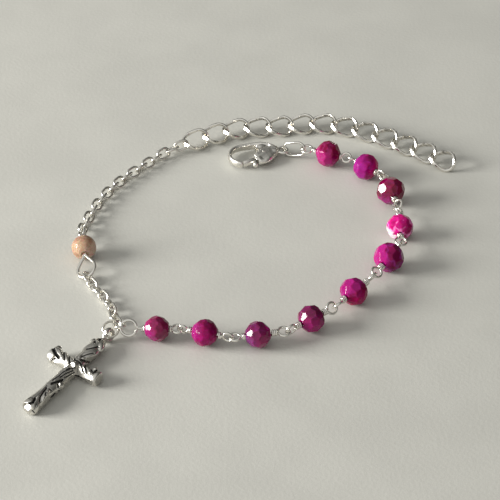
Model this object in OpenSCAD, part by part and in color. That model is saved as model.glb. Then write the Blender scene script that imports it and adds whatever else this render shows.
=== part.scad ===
// Rosary bracelet, lying open on a flat surface: ten faceted stone beads on
// wrapped eye pins, a twig cross, one peach bead, two lengths of fine chain,
// a twisted extension chain and a lobster clasp with a sprung lever.
// Millimetres, +Z up, the surface at z = 0, the origin under its middle.

/* [Magenta beads] */
// width of a middle-sized bead, corner to corner
bead_width = 5.0; // [4.4:0.1:5.6]
// length of a bead along its hole, as a share of its width
bead_length_share = 0.88; // [0.80:0.01:0.96]
// diameter of the drilled hole
bead_hole = 0.8; // [0.6:0.05:1.0]
// facets in each row round a bead, an odd number
bead_facets = 9; // [7:2:9]
// slope of the facets in the two middle rows
facet_low = 18; // [14:1:20]
// slope of the facets in the two end rows
facet_high = 48; // [44:1:55]

/* [Peach bead] */
// diameter of the smooth bead
peach_width = 4.4; // [3.8:0.1:5.0]

/* [Eye pins] */
// diameter of the wrapped wire
pin_wire = 0.44; // [0.36:0.02:0.50]
// radius of an ordinary eye, to the middle of its wire
eye_radius = 0.80; // [0.74:0.01:0.90]
// straight wire between a coil and its eye
eye_neck = 0.12; // [0.08:0.01:0.30]
// straight wire between the first bead and its large eye
first_neck = 1.05; // [0.60:0.05:1.40]
// play left between two pieces that hang in each other
link_play = 0.14; // [0.08:0.01:0.20]

/* [Pear eye] */
// radius of the round end of the pear-shaped eye
pear_radius = 1.72; // [1.40:0.02:2.00]
// distance from the point of the pear to the middle of its round end
pear_reach = 2.75; // [2.40:0.05:3.20]
// diameter of its thicker wire
pear_wire = 0.58; // [0.44:0.02:0.66]

/* [Fine chain] */
// distance from one link to the next
fine_pitch = 1.98; // [1.80:0.01:2.10]
// half width of a link, to the middle of its wire
fine_half_width = 0.84; // [0.80:0.01:0.92]
// diameter of its wire
fine_wire = 0.42; // [0.36:0.02:0.46]
// links between the peach bead and the extension chain
fine_count_long = 18; // [14:1:20]
// links between the pear-shaped eye and the junction link
fine_count_short = 8; // [5:1:9]

/* [Extension chain] */
// distance from one twisted link to the next
curb_pitch = 4.25; // [3.90:0.05:4.60]
// half width of a twisted link, to the middle of its wire
curb_half_width = 1.80; // [1.50:0.05:2.00]
// diameter of its wire
curb_wire = 0.62; // [0.46:0.02:0.64]
// turn between the two ends of a link
curb_twist = 90; // [84:1:96]

/* [Lobster clasp] */
// thickness of the clasp body
clasp_thickness = 2.3; // [2.0:0.1:2.6]
// radius of the round part of the body
clasp_body_radius = 2.35; // [2.2:0.05:2.5]
// radius of the hook, to the middle of its arm
hook_radius = 2.70; // [2.60:0.05:2.80]
// radius of the hook's arm
hook_arm = 0.56; // [0.48:0.02:0.62]
// radius of the lever's hinge pin
lever_pin = 0.30; // [0.24:0.01:0.34]
// running clearance between the pin and the lever's bore
pin_clearance = 0.05; // [0.02:0.01:0.08]
// free space above and below the lever in its slot
lever_side_gap = 0.14; // [0.10:0.01:0.18]

/* [Cross] */
// from the middle of the bail to the bottom end
cross_length = 21.3; // [20:0.1:24]
// from one arm end to the other
cross_span = 10.6; // [9.6:0.1:11]
// radius of the stem where it is plain
cross_stem_radius = 1.25; // [1.05:0.01:1.40]
// depth of the flat back below the middle of the stem
cross_back = 1.2; // [1.0:0.01:1.3]
// radius of the grooves cut in its bark
groove_radius = 0.16; // [0.10:0.01:0.22]

/* [Hidden] */
$fn = 48;
pin_r = pin_wire / 2;
fine_r = fine_wire / 2;
curb_r = curb_wire / 2;
pear_r = pear_wire / 2;
half_play = link_play / 2;
// links leave the pivot that two neighbours share half the play and one wire
// radius inside the middle of their own wire
fine_half = fine_pitch / 2 + fine_r + half_play;
curb_half = curb_pitch / 2 + curb_r + half_play;
coil_r = pin_r * 1.9;
coil_pitch = pin_wire * 0.96;

// moves the layout so that the middle of its box stands on the origin
SHIFT = [-0.72, 2.315, 0.018];

// magenta beads from the junction to the clasp: width share, heading,
// first end: turns, eye share, roll; second end: turns, eye share, roll
BEADS = [
  [0.91,  -2, 1, 1.67,  46, 1, 1.02,  10],
  [0.97, -15, 2, 0.96, 100, 2, 1.11,  95],
  [0.95,  10, 2, 1.10,   5, 3, 1.20,   8],
  [0.98,  38, 3, 1.13,  98, 3, 1.22,  46],
  [1.01,  49, 3, 1.17, 136, 4, 1.30, -66],
  [1.10,  60, 3, 1.18,  36, 2, 1.05, -78],
  [0.99,  89, 2, 1.29,  12, 4, 1.20,  45],
  [1.06, 103, 2, 1.32, 135, 2, 1.14,   6],
  [1.02, 137, 1, 1.10,  92, 1, 0.99,  40],
  [1.01, 160, 1, 1.05, -50, 2, 1.28, -10],
];
FIRST_EYE = [-20.45, -23.95];

// headings of the fine and extension chains along their links
LONG_ROUTE = [[0, 98], [1, 81], [3, 74], [5, 69], [8, 58], [11, 48], [14, 49], [17, 23]];
LONG_SLOPE = [[0, -20], [1, -12], [2, -5], [3, 0], [14, 0], [15, 4], [16, 7], [17, 7]];
LONG_ROLL = [[0, -56], [13, -56], [17, -20]];
SHORT_ROUTE = [[0, -72], [1, -57], [3, -58], [5, -71], [6, -81], [7, -65]];
SHORT_SLOPE = [[0, -3], [1, 0], [4, 0], [5, 1], [6, 5], [7, 14]];
SHORT_ROLL = [[0, -35], [7, -35]];
CURB_ROUTE = [[0, 31], [1, 26], [2, 21], [3, 1], [5, 11], [7, -19], [9, -32], [12, -38]];
CURB_ROLL = [[0, 34], [1, 32], [2, 26], [12, 24]];

// peach bead: its middle and the heading from its small eye to the pear
PEACH_AT = [-29.4, -2.1];
PEACH_HEADING = -82;

// junction: middle, roll, slope and heading of the jump ring and of the link
// that holds the ring and the first eye
RING_POSE = [[-23.47, -23.91, 1.95], 39.7, -5.0, 4.9];
JOIN_POSE = [[-21.98, -23.06, 2.10], 3.9, 26.8, -85.4];
RING_RADIUS = 1.30;
RING_WIRE = 0.40;

// cross: the ring's angle at which the bail hangs, and the cross's heading
BAIL_ANGLE = -110;
CROSS_HEADING = -123.8;
bail_radius = 1.00;
bail_rise = 0.12;
bail_wire = 0.76;

function dir(h, p = 0) = [cos(p) * cos(h), cos(p) * sin(h), sin(p)];
function unit(v) = v / norm(v);

// Bead strand
function width(i) = bead_width * BEADS[i][0];
function half(i) = width(i) * bead_length_share / 2;
function head(i) = BEADS[i][1];
function neck(i, e) = i == 0 && e == 0 ? first_neck : eye_neck;
function turns(i, e) = BEADS[i][2 + 3 * e];
function eye(i, e) = eye_radius * BEADS[i][3 + 3 * e];
function eye_roll(i, e) = BEADS[i][4 + 3 * e];
// from the bead's middle to the middle of its eye, and to the shared pivot
function eye_at(i, e) = half(i) + turns(i, e) * coil_pitch + neck(i, e) + eye(i, e);
function reach(i, e) = eye_at(i, e) + eye(i, e) - pin_r - half_play;
function bead_plan(i) = i == 0
  ? FIRST_EYE + eye_at(0, 0) * [cos(head(0)), sin(head(0))]
  : bead_plan(i - 1)
    + reach(i - 1, 1) * [cos(head(i - 1)), sin(head(i - 1))]
    + reach(i, 0) * [cos(head(i)), sin(head(i))];
function bead_at(i) = concat(bead_plan(i), width(i) / 2);

// Clasp strand
clasp_link_half = 2.20;
clasp_link_half_width = 1.30;
clasp_link_pose = [-80, -19, 158];
clasp_heading = 195;
clasp_pull = 186;
clasp_eye_radius = 0.84;
clasp_eye_wire = 0.62;
clasp_height = clasp_thickness / 2 + 0.02;
strand_end = bead_at(9) + reach(9, 1) * dir(head(9));
clasp_link_reach = clasp_link_half - pin_r - half_play;
clasp_link_at = strand_end + clasp_link_reach * dir(clasp_link_pose[2], clasp_link_pose[1]);
clasp_pivot = clasp_link_at + clasp_link_reach * dir(clasp_link_pose[2], clasp_link_pose[1]);
clasp_flat = clasp_pivot
  + (clasp_eye_radius - clasp_eye_wire / 2 - half_play) * dir(clasp_pull);
clasp_at = [clasp_flat[0], clasp_flat[1], clasp_height];

// Chains
function route(start, h, p, step, n) = n == 0
  ? start
  : route(start, h, p, step, n - 1) + step * dir(lookup(n - 1, h), lookup(n - 1, p));
peach_middle = concat(PEACH_AT, peach_width / 2 + 0.05);
peach_half = peach_width * 0.48;
small_eye = 0.74;
small_eye_at = peach_half + coil_pitch + eye_neck + small_eye;
small_reach = small_eye_at + small_eye - pin_r - half_play;
pear_slope = -17;
pear_roll = 30;
small_eye_roll = 30;
bail_roll = 50;
pear_pivot = peach_middle + peach_half * dir(PEACH_HEADING)
  + (pear_reach + pear_radius - pear_r - half_play) * dir(PEACH_HEADING, pear_slope);
long_start = peach_middle - small_reach * dir(PEACH_HEADING);
function long_at(i) = (route(long_start, LONG_ROUTE, LONG_SLOPE, fine_pitch, i)
  + route(long_start, LONG_ROUTE, LONG_SLOPE, fine_pitch, i + 1)) / 2;
function short_at(i) = (route(pear_pivot, SHORT_ROUTE, SHORT_SLOPE, fine_pitch, i)
  + route(pear_pivot, SHORT_ROUTE, SHORT_SLOPE, fine_pitch, i + 1)) / 2;
function long_roll(i) = lookup(i, LONG_ROLL) + 90 * (i % 2);
function short_roll(i) = lookup(i, SHORT_ROLL) + 91 * (i % 2);
long_end = route(long_start, LONG_ROUTE, LONG_SLOPE, fine_pitch, fine_count_long);
curb_height = 1.64;
curb_start = [long_end[0], long_end[1], curb_height];
CURB_SLOPE = [[0, 0], [1, -1], [2, -1], [3, 0], [12, 0]];
function curb_at(i) = (route(curb_start, CURB_ROUTE, CURB_SLOPE, curb_pitch, i)
  + route(curb_start, CURB_ROUTE, CURB_SLOPE, curb_pitch, i + 1)) / 2;

module place(at, roll, slope, heading) {
  translate(SHIFT + at) rotate([roll, -slope, heading]) children();
}

// round ring of wire in the local XY plane
module ring(radius, wire) {
  rotate_extrude() translate([radius, 0]) circle(d = wire);
}

// part of a ring, from one angle on
module bow(radius, wire, from, sweep) {
  rotate([0, 0, from]) rotate_extrude(angle = sweep) translate([radius, 0]) circle(d = wire);
}

// straight round wire between two points in the local XY plane
module rod(a, b, r) {
  d = b - a;
  translate(a) rotate([0, 0, atan2(d[1], d[0])]) rotate([0, 90, 0]) cylinder(r = r, h = norm(d));
}

// oval link with two straight sides, long along X
module oval_link(half_long, half_wide, wire) {
  s = half_long - half_wide;
  translate([s, 0, 0]) bow(half_wide, wire, -90, 180);
  translate([-s, 0, 0]) bow(half_wide, wire, 90, 180);
  for (y = [-half_wide, half_wide]) rod([-s, y, 0], [s, y, 0], wire / 2);
}

// Magenta beads
// distance from the middle to a facet at a latitude, on an egg-shaped core
function facet_reach(w, lat) = w / 2 * 0.935
  * sqrt(pow(cos(lat), 2) + pow(bead_length_share * sin(lat), 2));

// stone along X: two middle rows and two end rows of flat facets, each row
// half a facet out of step with the next
module facet_bead(w) {
  step = 360 / bead_facets;
  difference() {
    intersection() {
      cube([w * bead_length_share, w * 1.2, w * 1.2], center = true);
      facet_row(w, facet_low, 0);
      facet_row(w, facet_high, step / 2);
    }
    rotate([0, 90, 0]) cylinder(d = bead_hole, h = w * 1.2, center = true);
  }
}

module facet_row(w, lat, turn) {
  intersection_for (k = [0 : bead_facets - 1])
    rotate([turn + k * 360 / bead_facets, 0, 0]) rotate([0, -lat, 0])
      cube([w * 2, w * 2, 2 * facet_reach(w, lat)], center = true);
}

module bead(i) {
  color([0.52, 0.06, 0.32]) place(bead_at(i), 17 * i + 8, 0, head(i)) facet_bead(width(i));
}

// Eye pins
// one end of a pin along +X: straight wire, coil and eye
module pin_end(from, turn_count, neck_length, radius, roll) {
  coil_end = from + turn_count * coil_pitch;
  rotate([0, 90, 0]) cylinder(r = pin_r * 0.93, h = coil_end + neck_length + pin_r * 0.3);
  for (k = [0 : turn_count - 1])
    translate([from + (k + 0.5) * coil_pitch, 0, 0]) rotate([0, 90, 0]) ring(coil_r, pin_wire);
  translate([coil_end + neck_length + radius, 0, 0]) rotate([roll, 0, 0]) ring(radius, pin_wire);
}

module eye_pin(i) {
  color([0.80, 0.80, 0.78]) place(bead_at(i), 0, 0, head(i)) union() {
    pin_end(half(i) + 0.03, turns(i, 1), neck(i, 1) - 0.03, eye(i, 1), eye_roll(i, 1));
    rotate([0, 0, 180])
      pin_end(half(i) + 0.03, turns(i, 0), neck(i, 0) - 0.03, eye(i, 0), -eye_roll(i, 0));
  }
}

// Peach bead and its pin
module peach_bead() {
  color([0.72, 0.52, 0.42]) place(peach_middle, 0, 0, PEACH_HEADING) difference() {
    intersection() {
      sphere(d = peach_width);
      cube([2 * peach_half, peach_width, peach_width], center = true);
    }
    rotate([0, 90, 0]) cylinder(d = bead_hole, h = peach_width * 1.2, center = true);
  }
}

// pear: two straight sides that meet in a point and a round end
module pear() {
  half_angle = asin(pear_radius / pear_reach);
  side = sqrt(pow(pear_reach, 2) - pow(pear_radius, 2)) + pear_r * 0.4;
  for (s = [-1, 1])
    rod([0, 0, 0], [side * cos(half_angle), s * side * sin(half_angle), 0], pear_r * 0.95);
  translate([pear_reach, 0, 0])
    bow(pear_radius, pear_wire, -90 - half_angle, 180 + 2 * half_angle);
}

module pear_eye_pin() {
  color([0.78, 0.78, 0.75]) place(peach_middle, 0, 0, PEACH_HEADING) union() {
    rotate([0, 0, 180]) pin_end(peach_half + 0.03, 1, eye_neck - 0.03, small_eye, small_eye_roll);
    rotate([0, 90, 0]) cylinder(r = pin_r * 0.93, h = peach_half + pear_r * 1.5);
    translate([peach_half + pear_r, 0, 0]) rotate([0, -pear_slope, 0]) rotate([pear_roll, 0, 0]) pear();
  }
}

// Fine chains
module fine_link() {
  oval_link(fine_half, fine_half_width, fine_wire);
}

module fine_chain_long() {
  color([0.76, 0.76, 0.74])
    for (i = [0 : fine_count_long - 1])
      place(long_at(i), long_roll(i), lookup(i, LONG_SLOPE), lookup(i, LONG_ROUTE)) fine_link();
}

module fine_chain_short() {
  color([0.76, 0.76, 0.74])
    for (i = [0 : fine_count_short - 1])
      place(short_at(i), short_roll(i), lookup(i, SHORT_SLOPE), lookup(i, SHORT_ROUTE))
        fine_link();
}

module junction_link() {
  color([0.80, 0.80, 0.78]) place(JOIN_POSE[0], JOIN_POSE[1], JOIN_POSE[2], JOIN_POSE[3])
    oval_link(fine_half + 0.05, fine_half_width + 0.08, fine_wire);
}

module cross_jump_ring() {
  color([0.70, 0.70, 0.68]) place(RING_POSE[0], RING_POSE[1], RING_POSE[2], RING_POSE[3])
    ring(RING_RADIUS, RING_WIRE);
}

// Extension chain
curb_stations = 16;
curb_sides = 6;
function curb_point(t) = let (x = curb_half * cos(t), a = curb_twist * cos(t) / 2)
  [x, curb_half_width * sin(t) * cos(a), curb_half_width * sin(t) * sin(a)];
function curb_ring(t) = let (
    p = curb_point(t),
    along = unit(curb_point(t + 2) - curb_point(t - 2)),
    a = curb_twist * cos(t) / 2,
    up = [0, -sin(a), cos(a)],
    n = unit(up - (up * along) * along),
    b = cross(along, n)
  )
  [for (k = [0 : curb_sides - 1])
    p + curb_r * (cos(k * 360 / curb_sides) * n + sin(k * 360 / curb_sides) * b)];

module curb_link(i) {
  points = [for (s = [0 : curb_stations - 1]) each curb_ring(s * 360 / curb_stations)];
  faces = [for (s = [0 : curb_stations - 1]) for (k = [0 : curb_sides - 1])
    let (
      s2 = (s + 1) % curb_stations,
      k2 = (k + 1) % curb_sides,
      a = s * curb_sides + k,
      b = s * curb_sides + k2,
      c = s2 * curb_sides + k2,
      d = s2 * curb_sides + k
    )
    each [[a, b, c], [a, c, d]]];
  color([0.82, 0.82, 0.80])
    place(curb_at(i), lookup(i, CURB_ROLL), lookup(i, CURB_SLOPE), lookup(i, CURB_ROUTE))
      polyhedron(points, faces);
}

// Clasp
// local frame: X from the end eye to the hook, Y to the lever's side
lever_pivot = [3.9, 0.6, 0];
hook_middle = [7.5, 0, 0];
body_middle = [3.05, 0, 0];
// where the back of the hook leaves the body, and where it leaves the neck
hook_from = [3.2, -hook_radius, 0];
neck_from = [1.25, -1.2, 0];
hook_tip_angle = 57;
hook_tip = hook_middle + hook_radius * [cos(hook_tip_angle), sin(hook_tip_angle), 0];
slot_half = 0.45 + lever_side_gap;
lever_arm = 0.42;
lever_tip = hook_tip - [hook_arm * 1.05 + lever_arm * 1.08 + 0.12, 0, 0];
lever_knuckle = 0.72;
tab_from = [5.75, 1.42, 0];
tab_end = [6.25, 3.05, 0];
shoulder_radius = 1.35;
web_radius = 1.15;
web_height = 1.9;

module clasp_link() {
  color([0.80, 0.80, 0.78])
    place(clasp_link_at, clasp_link_pose[0], clasp_link_pose[1], clasp_link_pose[2])
      oval_link(clasp_link_half, clasp_link_half_width, pin_wire);
}

module clasp_frame() {
  place(clasp_at, 0, 0, clasp_heading) children();
}

module clasp_shell() {
  r = clasp_body_radius;
  intersection() {
    union() {
      translate(body_middle) sphere(r = r);
      translate([0.7, 0, 0]) rotate([0, 90, 0])
        cylinder(r1 = 0.7, r2 = r * 0.93, h = body_middle[0] - 0.6);
      // shoulder beside the lever, and the web between body and hook
      translate([4.7, 1.65, 0]) sphere(r = shoulder_radius);
      translate([4.1, -1.7, 0]) cylinder(r = web_radius, h = web_height, center = true);
    }
    translate([3.5, 0, 0]) cube([9, 9, clasp_thickness], center = true);
  }
}

module clasp_body() {
  color([0.80, 0.80, 0.78]) clasp_frame() difference() {
    union() {
      clasp_shell();
      ring(clasp_eye_radius, clasp_eye_wire);
      rod(neck_from, hook_from, hook_arm * 1.06);
      translate(hook_from) rotate([90, 0, 0]) sphere(r = hook_arm * 1.14);
      rod(hook_from, hook_middle - [0, hook_radius, 0], hook_arm);
      translate(hook_middle) bow(hook_radius, 2 * hook_arm, -90, 90 + hook_tip_angle);
      translate(hook_tip) rotate([90, 0, 0]) sphere(r = hook_arm * 1.05);
    }
    lever_space();
    translate(lever_pivot) cylinder(r = lever_pin + 0.02, h = 2 * clasp_thickness, center = true);
  }
}

// slot that the lever's knuckle, arm and tab swing in
module lever_space() {
  r = lever_knuckle + 0.16;
  translate(lever_pivot) cylinder(r = r, h = 2 * slot_half, center = true);
  translate([lever_pivot[0], lever_pivot[1] - 1.1, -slot_half]) cube([2.6, 4.2, 2 * slot_half]);
}

module clasp_lever() {
  color([0.74, 0.74, 0.72]) clasp_frame() difference() {
    union() {
      translate(lever_pivot) cylinder(r = lever_knuckle, h = 0.9, center = true);
      rod(lever_pivot, lever_tip, lever_arm);
      translate(lever_tip) sphere(r = lever_arm * 1.08);
      rod(tab_from, tab_end, 0.38);
      translate(tab_end) sphere(r = 0.5);
    }
    translate(lever_pivot) cylinder(r = lever_pin + pin_clearance, h = 3, center = true);
  }
}

module clasp_pin() {
  color([0.66, 0.66, 0.64]) clasp_frame()
    translate(lever_pivot) cylinder(r = lever_pin, h = clasp_thickness - 0.04, center = true);
}

// Cross
// local frame: X from the bail to the bottom end, Z up from the flat back
bail_reach = RING_RADIUS + bail_radius - RING_WIRE / 2 - bail_wire / 2 - half_play;
function turned(v, roll, slope, heading) = let (
    a = [v[0], v[1] * cos(roll) - v[2] * sin(roll), v[1] * sin(roll) + v[2] * cos(roll)],
    b = [a[0] * cos(slope) - a[2] * sin(slope), a[1], a[0] * sin(slope) + a[2] * cos(slope)]
  )
  [b[0] * cos(heading) - b[1] * sin(heading), b[0] * sin(heading) + b[1] * cos(heading), b[2]];
bail_flat = RING_POSE[0] + bail_reach
  * turned([cos(BAIL_ANGLE), sin(BAIL_ANGLE), 0], RING_POSE[1], RING_POSE[2], RING_POSE[3]);
cross_at = [bail_flat[0], bail_flat[1], cross_back + 0.10];
crossing = cross_length * 0.435;
// stem: share of the length and share of the radius, bail to bottom
STEM = [
  [0.050, 0.00], [0.050, 0.52], [0.085, 0.86], [0.19, 1.08], [0.30, 0.94],
  [0.37, 1.08], [0.48, 1.10], [0.60, 0.90], [0.69, 1.12], [0.80, 0.96],
  [0.89, 1.12], [0.955, 1.26], [0.990, 1.14], [1.0, 0.88], [1.0, 0.00],
];
// arm: share of half the span and share of the stem radius, middle to end
ARM = [
  [0, 0.00], [0, 0.90], [0.34, 0.98], [0.58, 1.04], [0.78, 1.16], [0.92, 1.28],
  [0.985, 1.20], [1.0, 1.00], [1.0, 0.00],
];
// directions of the two arms, which lean a little out of line
ARM_TURNS = [-97, 88];
// binding grooves: shares of half the span, and their slant
BINDINGS = [-0.66, -0.50, -0.32, -0.17, 0.36, 0.48, 0.62];
binding_slant = 24;
// veins on the upper face: place along the length, offset and angle, length
VEINS = [
  [0.15, 0.20, 14, 3.0], [0.19, -0.55, 10, 2.6], [0.27, 0.35, 18, 2.8], [0.33, -0.35, 22, 2.2],
  [0.50, -0.45, -8, 3.4], [0.53, 0.25, -12, 3.2], [0.58, -0.10, 16, 2.6], [0.72, -0.50, 12, 3.0],
  [0.76, 0.35, 15, 2.8], [0.86, -0.30, 14, 3.2], [0.90, 0.50, 10, 2.2],
];

module turned_bar(profile, long, radius) {
  rotate([0, 90, 0]) rotate([0, 0, 90]) rotate_extrude()
    polygon([for (p = profile) [p[1] * radius, p[0] * long]]);
}

module cross_arms() {
  translate([crossing, 0, 0]) for (a = ARM_TURNS) rotate([0, 0, a]) children();
}

module cross_solid() {
  r = cross_stem_radius;
  turned_bar(STEM, cross_length, r);
  cross_arms() turned_bar(ARM, cross_span / 2, r);
  // knot over the crossing, branch stub and bud
  translate([crossing + 0.1 * r, 0.1 * r, 0.35 * r]) sphere(r = 1.02 * r);
  translate([cross_length * 0.67, r * 0.55, 0.2 * r]) rotate([-68, 0, 0]) rotate([0, 22, 0])
    cylinder(r1 = 0.64 * r, r2 = 0.50 * r, h = r);
  translate([cross_length * 0.125, -r * 0.80, 0.2 * r]) sphere(r = 0.50 * r);
}

module cross_cuts() {
  r = cross_stem_radius;
  // hollow cut ends of the arms, the bottom and the stub
  cross_arms() translate([cross_span / 2 + 0.08 * r, 0, 0.30 * r]) sphere(r = 0.76 * r);
  translate([cross_length + 0.08 * r, 0.08 * r, 0.32 * r]) sphere(r = 0.64 * r);
  translate([cross_length * 0.67 + 0.34 * r, 1.52 * r, 0.52 * r]) sphere(r = 0.34 * r);
  translate([cross_length * 0.125, -r * 0.85, 0.72 * r]) sphere(r = 0.24 * r);
  // binding grooves round the arms
  for (v = BINDINGS)
    translate([crossing, v * cross_span / 2, 0]) rotate([0, 0, binding_slant]) rotate([90, 0, 0])
      translate([v < 0 ? v * 0.12 * cross_span / 2 : 0, 0, 0])
        ring(r * lookup(abs(v), ARM) / cos(binding_slant / 2), 2 * groove_radius);
  // veins along the stem
  for (v = VEINS)
    translate([v[0] * cross_length, v[1] * r, sqrt(1 - v[1] * v[1]) * r * 1.02])
      rotate([0, 0, v[2]]) rod([-v[3] / 2, 0, 0], [v[3] / 2, 0, 0], groove_radius);
}

module cross() {
  color([0.62, 0.62, 0.60]) place(cross_at, 0, 0, CROSS_HEADING) union() {
    intersection() {
      difference() {
        cross_solid();
        cross_cuts();
      }
      translate([-cross_length, -cross_length, -cross_back]) cube(cross_length * 3);
    }
    translate([0, 0, bail_rise]) rotate([bail_roll, 0, 0]) ring(bail_radius, bail_wire);
    translate([bail_radius * 0.9, 0, 0]) rotate([0, 90, 0])
      cylinder(r = 0.55 * bail_wire, h = cross_length * 0.05 + 0.3 - bail_radius * 0.9);
  }
}

bead(0);  // bead_01
bead(1);  // bead_02
bead(2);  // bead_03
bead(3);  // bead_04
bead(4);  // bead_05
bead(5);  // bead_06
bead(6);  // bead_07
bead(7);  // bead_08
bead(8);  // bead_09
bead(9);  // bead_10
eye_pin(0);  // eye_pin_01
eye_pin(1);  // eye_pin_02
eye_pin(2);  // eye_pin_03
eye_pin(3);  // eye_pin_04
eye_pin(4);  // eye_pin_05
eye_pin(5);  // eye_pin_06
eye_pin(6);  // eye_pin_07
eye_pin(7);  // eye_pin_08
eye_pin(8);  // eye_pin_09
eye_pin(9);  // eye_pin_10
peach_bead();
pear_eye_pin();
fine_chain_long();
fine_chain_short();
junction_link();
cross_jump_ring();
cross();
curb_link(0);  // curb_link_01
curb_link(1);  // curb_link_02
curb_link(2);  // curb_link_03
curb_link(3);  // curb_link_04
curb_link(4);  // curb_link_05
curb_link(5);  // curb_link_06
curb_link(6);  // curb_link_07
curb_link(7);  // curb_link_08
curb_link(8);  // curb_link_09
curb_link(9);  // curb_link_10
curb_link(10);  // curb_link_11
curb_link(11);  // curb_link_12
curb_link(12);  // curb_link_13
clasp_link();
clasp_body();
clasp_lever();
clasp_pin();
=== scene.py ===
"""Rosary bracelet lying open on a pale surface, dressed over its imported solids.

Pieces are modelled in millimetres round their own middle and settled in the
row frame, in metres, by their own placing matrix.
"""
import logging
import math
import random
from dataclasses import dataclass, field
from enum import Enum
from typing import Callable, Sequence

import bmesh
import bpy
import numpy as np
from mathutils import Matrix, Vector


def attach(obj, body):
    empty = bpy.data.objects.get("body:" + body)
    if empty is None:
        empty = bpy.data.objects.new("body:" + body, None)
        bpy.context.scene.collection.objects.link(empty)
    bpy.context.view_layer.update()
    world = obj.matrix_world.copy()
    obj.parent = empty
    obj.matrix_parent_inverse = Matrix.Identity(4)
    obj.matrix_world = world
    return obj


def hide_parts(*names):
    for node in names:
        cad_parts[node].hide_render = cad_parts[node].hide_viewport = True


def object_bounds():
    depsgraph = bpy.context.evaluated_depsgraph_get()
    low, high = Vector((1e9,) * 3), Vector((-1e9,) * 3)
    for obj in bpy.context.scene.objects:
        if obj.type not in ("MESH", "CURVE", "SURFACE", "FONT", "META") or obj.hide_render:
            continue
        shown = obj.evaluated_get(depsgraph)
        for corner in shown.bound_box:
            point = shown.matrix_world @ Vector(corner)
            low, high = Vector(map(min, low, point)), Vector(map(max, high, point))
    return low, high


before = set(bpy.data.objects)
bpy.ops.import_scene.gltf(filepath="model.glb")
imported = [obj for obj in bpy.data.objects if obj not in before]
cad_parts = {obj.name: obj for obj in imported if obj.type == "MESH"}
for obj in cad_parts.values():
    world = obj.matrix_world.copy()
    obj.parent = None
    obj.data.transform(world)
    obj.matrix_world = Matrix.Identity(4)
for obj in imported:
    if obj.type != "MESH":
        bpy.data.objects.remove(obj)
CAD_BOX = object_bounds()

LOG = logging.getLogger("bracelet")
MM = 0.001
BODY = "bracelet"
LEVER = "lever"
# from the layout's origin to the row frame's, in millimetres
SHIFT = Vector((-0.72, 2.315, 0.018))
TAU = 2 * math.pi
# degrees above the surface
CAMERA_ELEVATION = 38.5
# a facet that faces this way shows the window to the camera
WINDOW_GLINT = Vector((-0.651, -0.521, 0.553))

# placing


def direction(heading: float, slope: float = 0.0) -> Vector:
    """Unit vector of a heading and a slope in degrees.

    Args:
        heading: turn about Z from +X.
        slope: rise above the level.

    Returns:
        The unit vector.
    """
    h, p = math.radians(heading), math.radians(slope)
    return Vector((math.cos(p) * math.cos(h), math.cos(p) * math.sin(h), math.sin(p)))


def placed(at: Sequence[float], roll: float, slope: float, heading: float) -> Matrix:
    """Placing matrix in millimetres, as the solids are placed.

    Args:
        at: the piece's middle in the layout.
        roll: turn about its own X.
        slope: rise of its X above the level.
        heading: turn about Z.

    Returns:
        The matrix from the piece's own space to the row frame in millimetres.
    """
    return (
        Matrix.Translation(SHIFT + Vector(at))
        @ Matrix.Rotation(math.radians(heading), 4, "Z")
        @ Matrix.Rotation(math.radians(-slope), 4, "Y")
        @ Matrix.Rotation(math.radians(roll), 4, "X")
    )


# magenta beads: width share, heading, then turns, eye share and roll of each end
# turns is the number of turns of the coil, and eye share scales the eye's radius
BEADS = (
    (0.91, -2, 1, 1.67, 46, 1, 1.02, 10),
    (0.97, -15, 2, 0.96, 100, 2, 1.11, 95),
    (0.95, 10, 2, 1.10, 5, 3, 1.20, 8),
    (0.98, 38, 3, 1.13, 98, 3, 1.22, 46),
    (1.01, 49, 3, 1.17, 136, 4, 1.30, -66),
    (1.10, 60, 3, 1.18, 36, 2, 1.05, -78),
    (0.99, 89, 2, 1.29, 12, 4, 1.20, 45),
    (1.06, 103, 2, 1.32, 135, 2, 1.14, 6),
    (1.02, 137, 1, 1.10, 92, 1, 0.99, 40),
    (1.01, 160, 1, 1.05, -50, 2, 1.28, -10),
)
Table = tuple[tuple[float, float], ...]
LONG_ROUTE: Table = ((0, 98), (1, 81), (3, 74), (5, 69), (8, 58), (11, 48), (14, 49), (17, 23))
LONG_SLOPE: Table = ((0, -20), (1, -12), (2, -5), (3, 0), (14, 0), (15, 4), (16, 7), (17, 7))
LONG_ROLL: Table = ((0, -56), (13, -56), (17, -20))
SHORT_ROUTE: Table = ((0, -72), (1, -57), (3, -58), (5, -71), (6, -81), (7, -65))
SHORT_SLOPE: Table = ((0, -3), (1, 0), (4, 0), (5, 1), (6, 5), (7, 14))
SHORT_ROLL: Table = ((0, -35), (7, -35))
CURB_ROUTE: Table = ((0, 31), (1, 26), (2, 21), (3, 1), (5, 11), (7, -19), (9, -32), (12, -38))
CURB_ROLL: Table = ((0, 34), (1, 32), (2, 26), (12, 24))
CURB_SLOPE: Table = ((0, 0), (1, -1), (2, -1), (3, 0), (12, 0))
# middle, roll, slope and heading of the cross's jump ring and of the junction link
RING_POSE = ((-23.47, -23.91, 1.95), 39.7, -5.0, 4.9)
JOIN_POSE = ((-21.98, -23.06, 2.10), 3.9, 26.8, -85.4)


def lookup(i: float, table: Table) -> float:
    """Value at i on a table of (place, value) pairs, straight between them."""
    return float(np.interp(i, [t[0] for t in table], [t[1] for t in table]))


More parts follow.
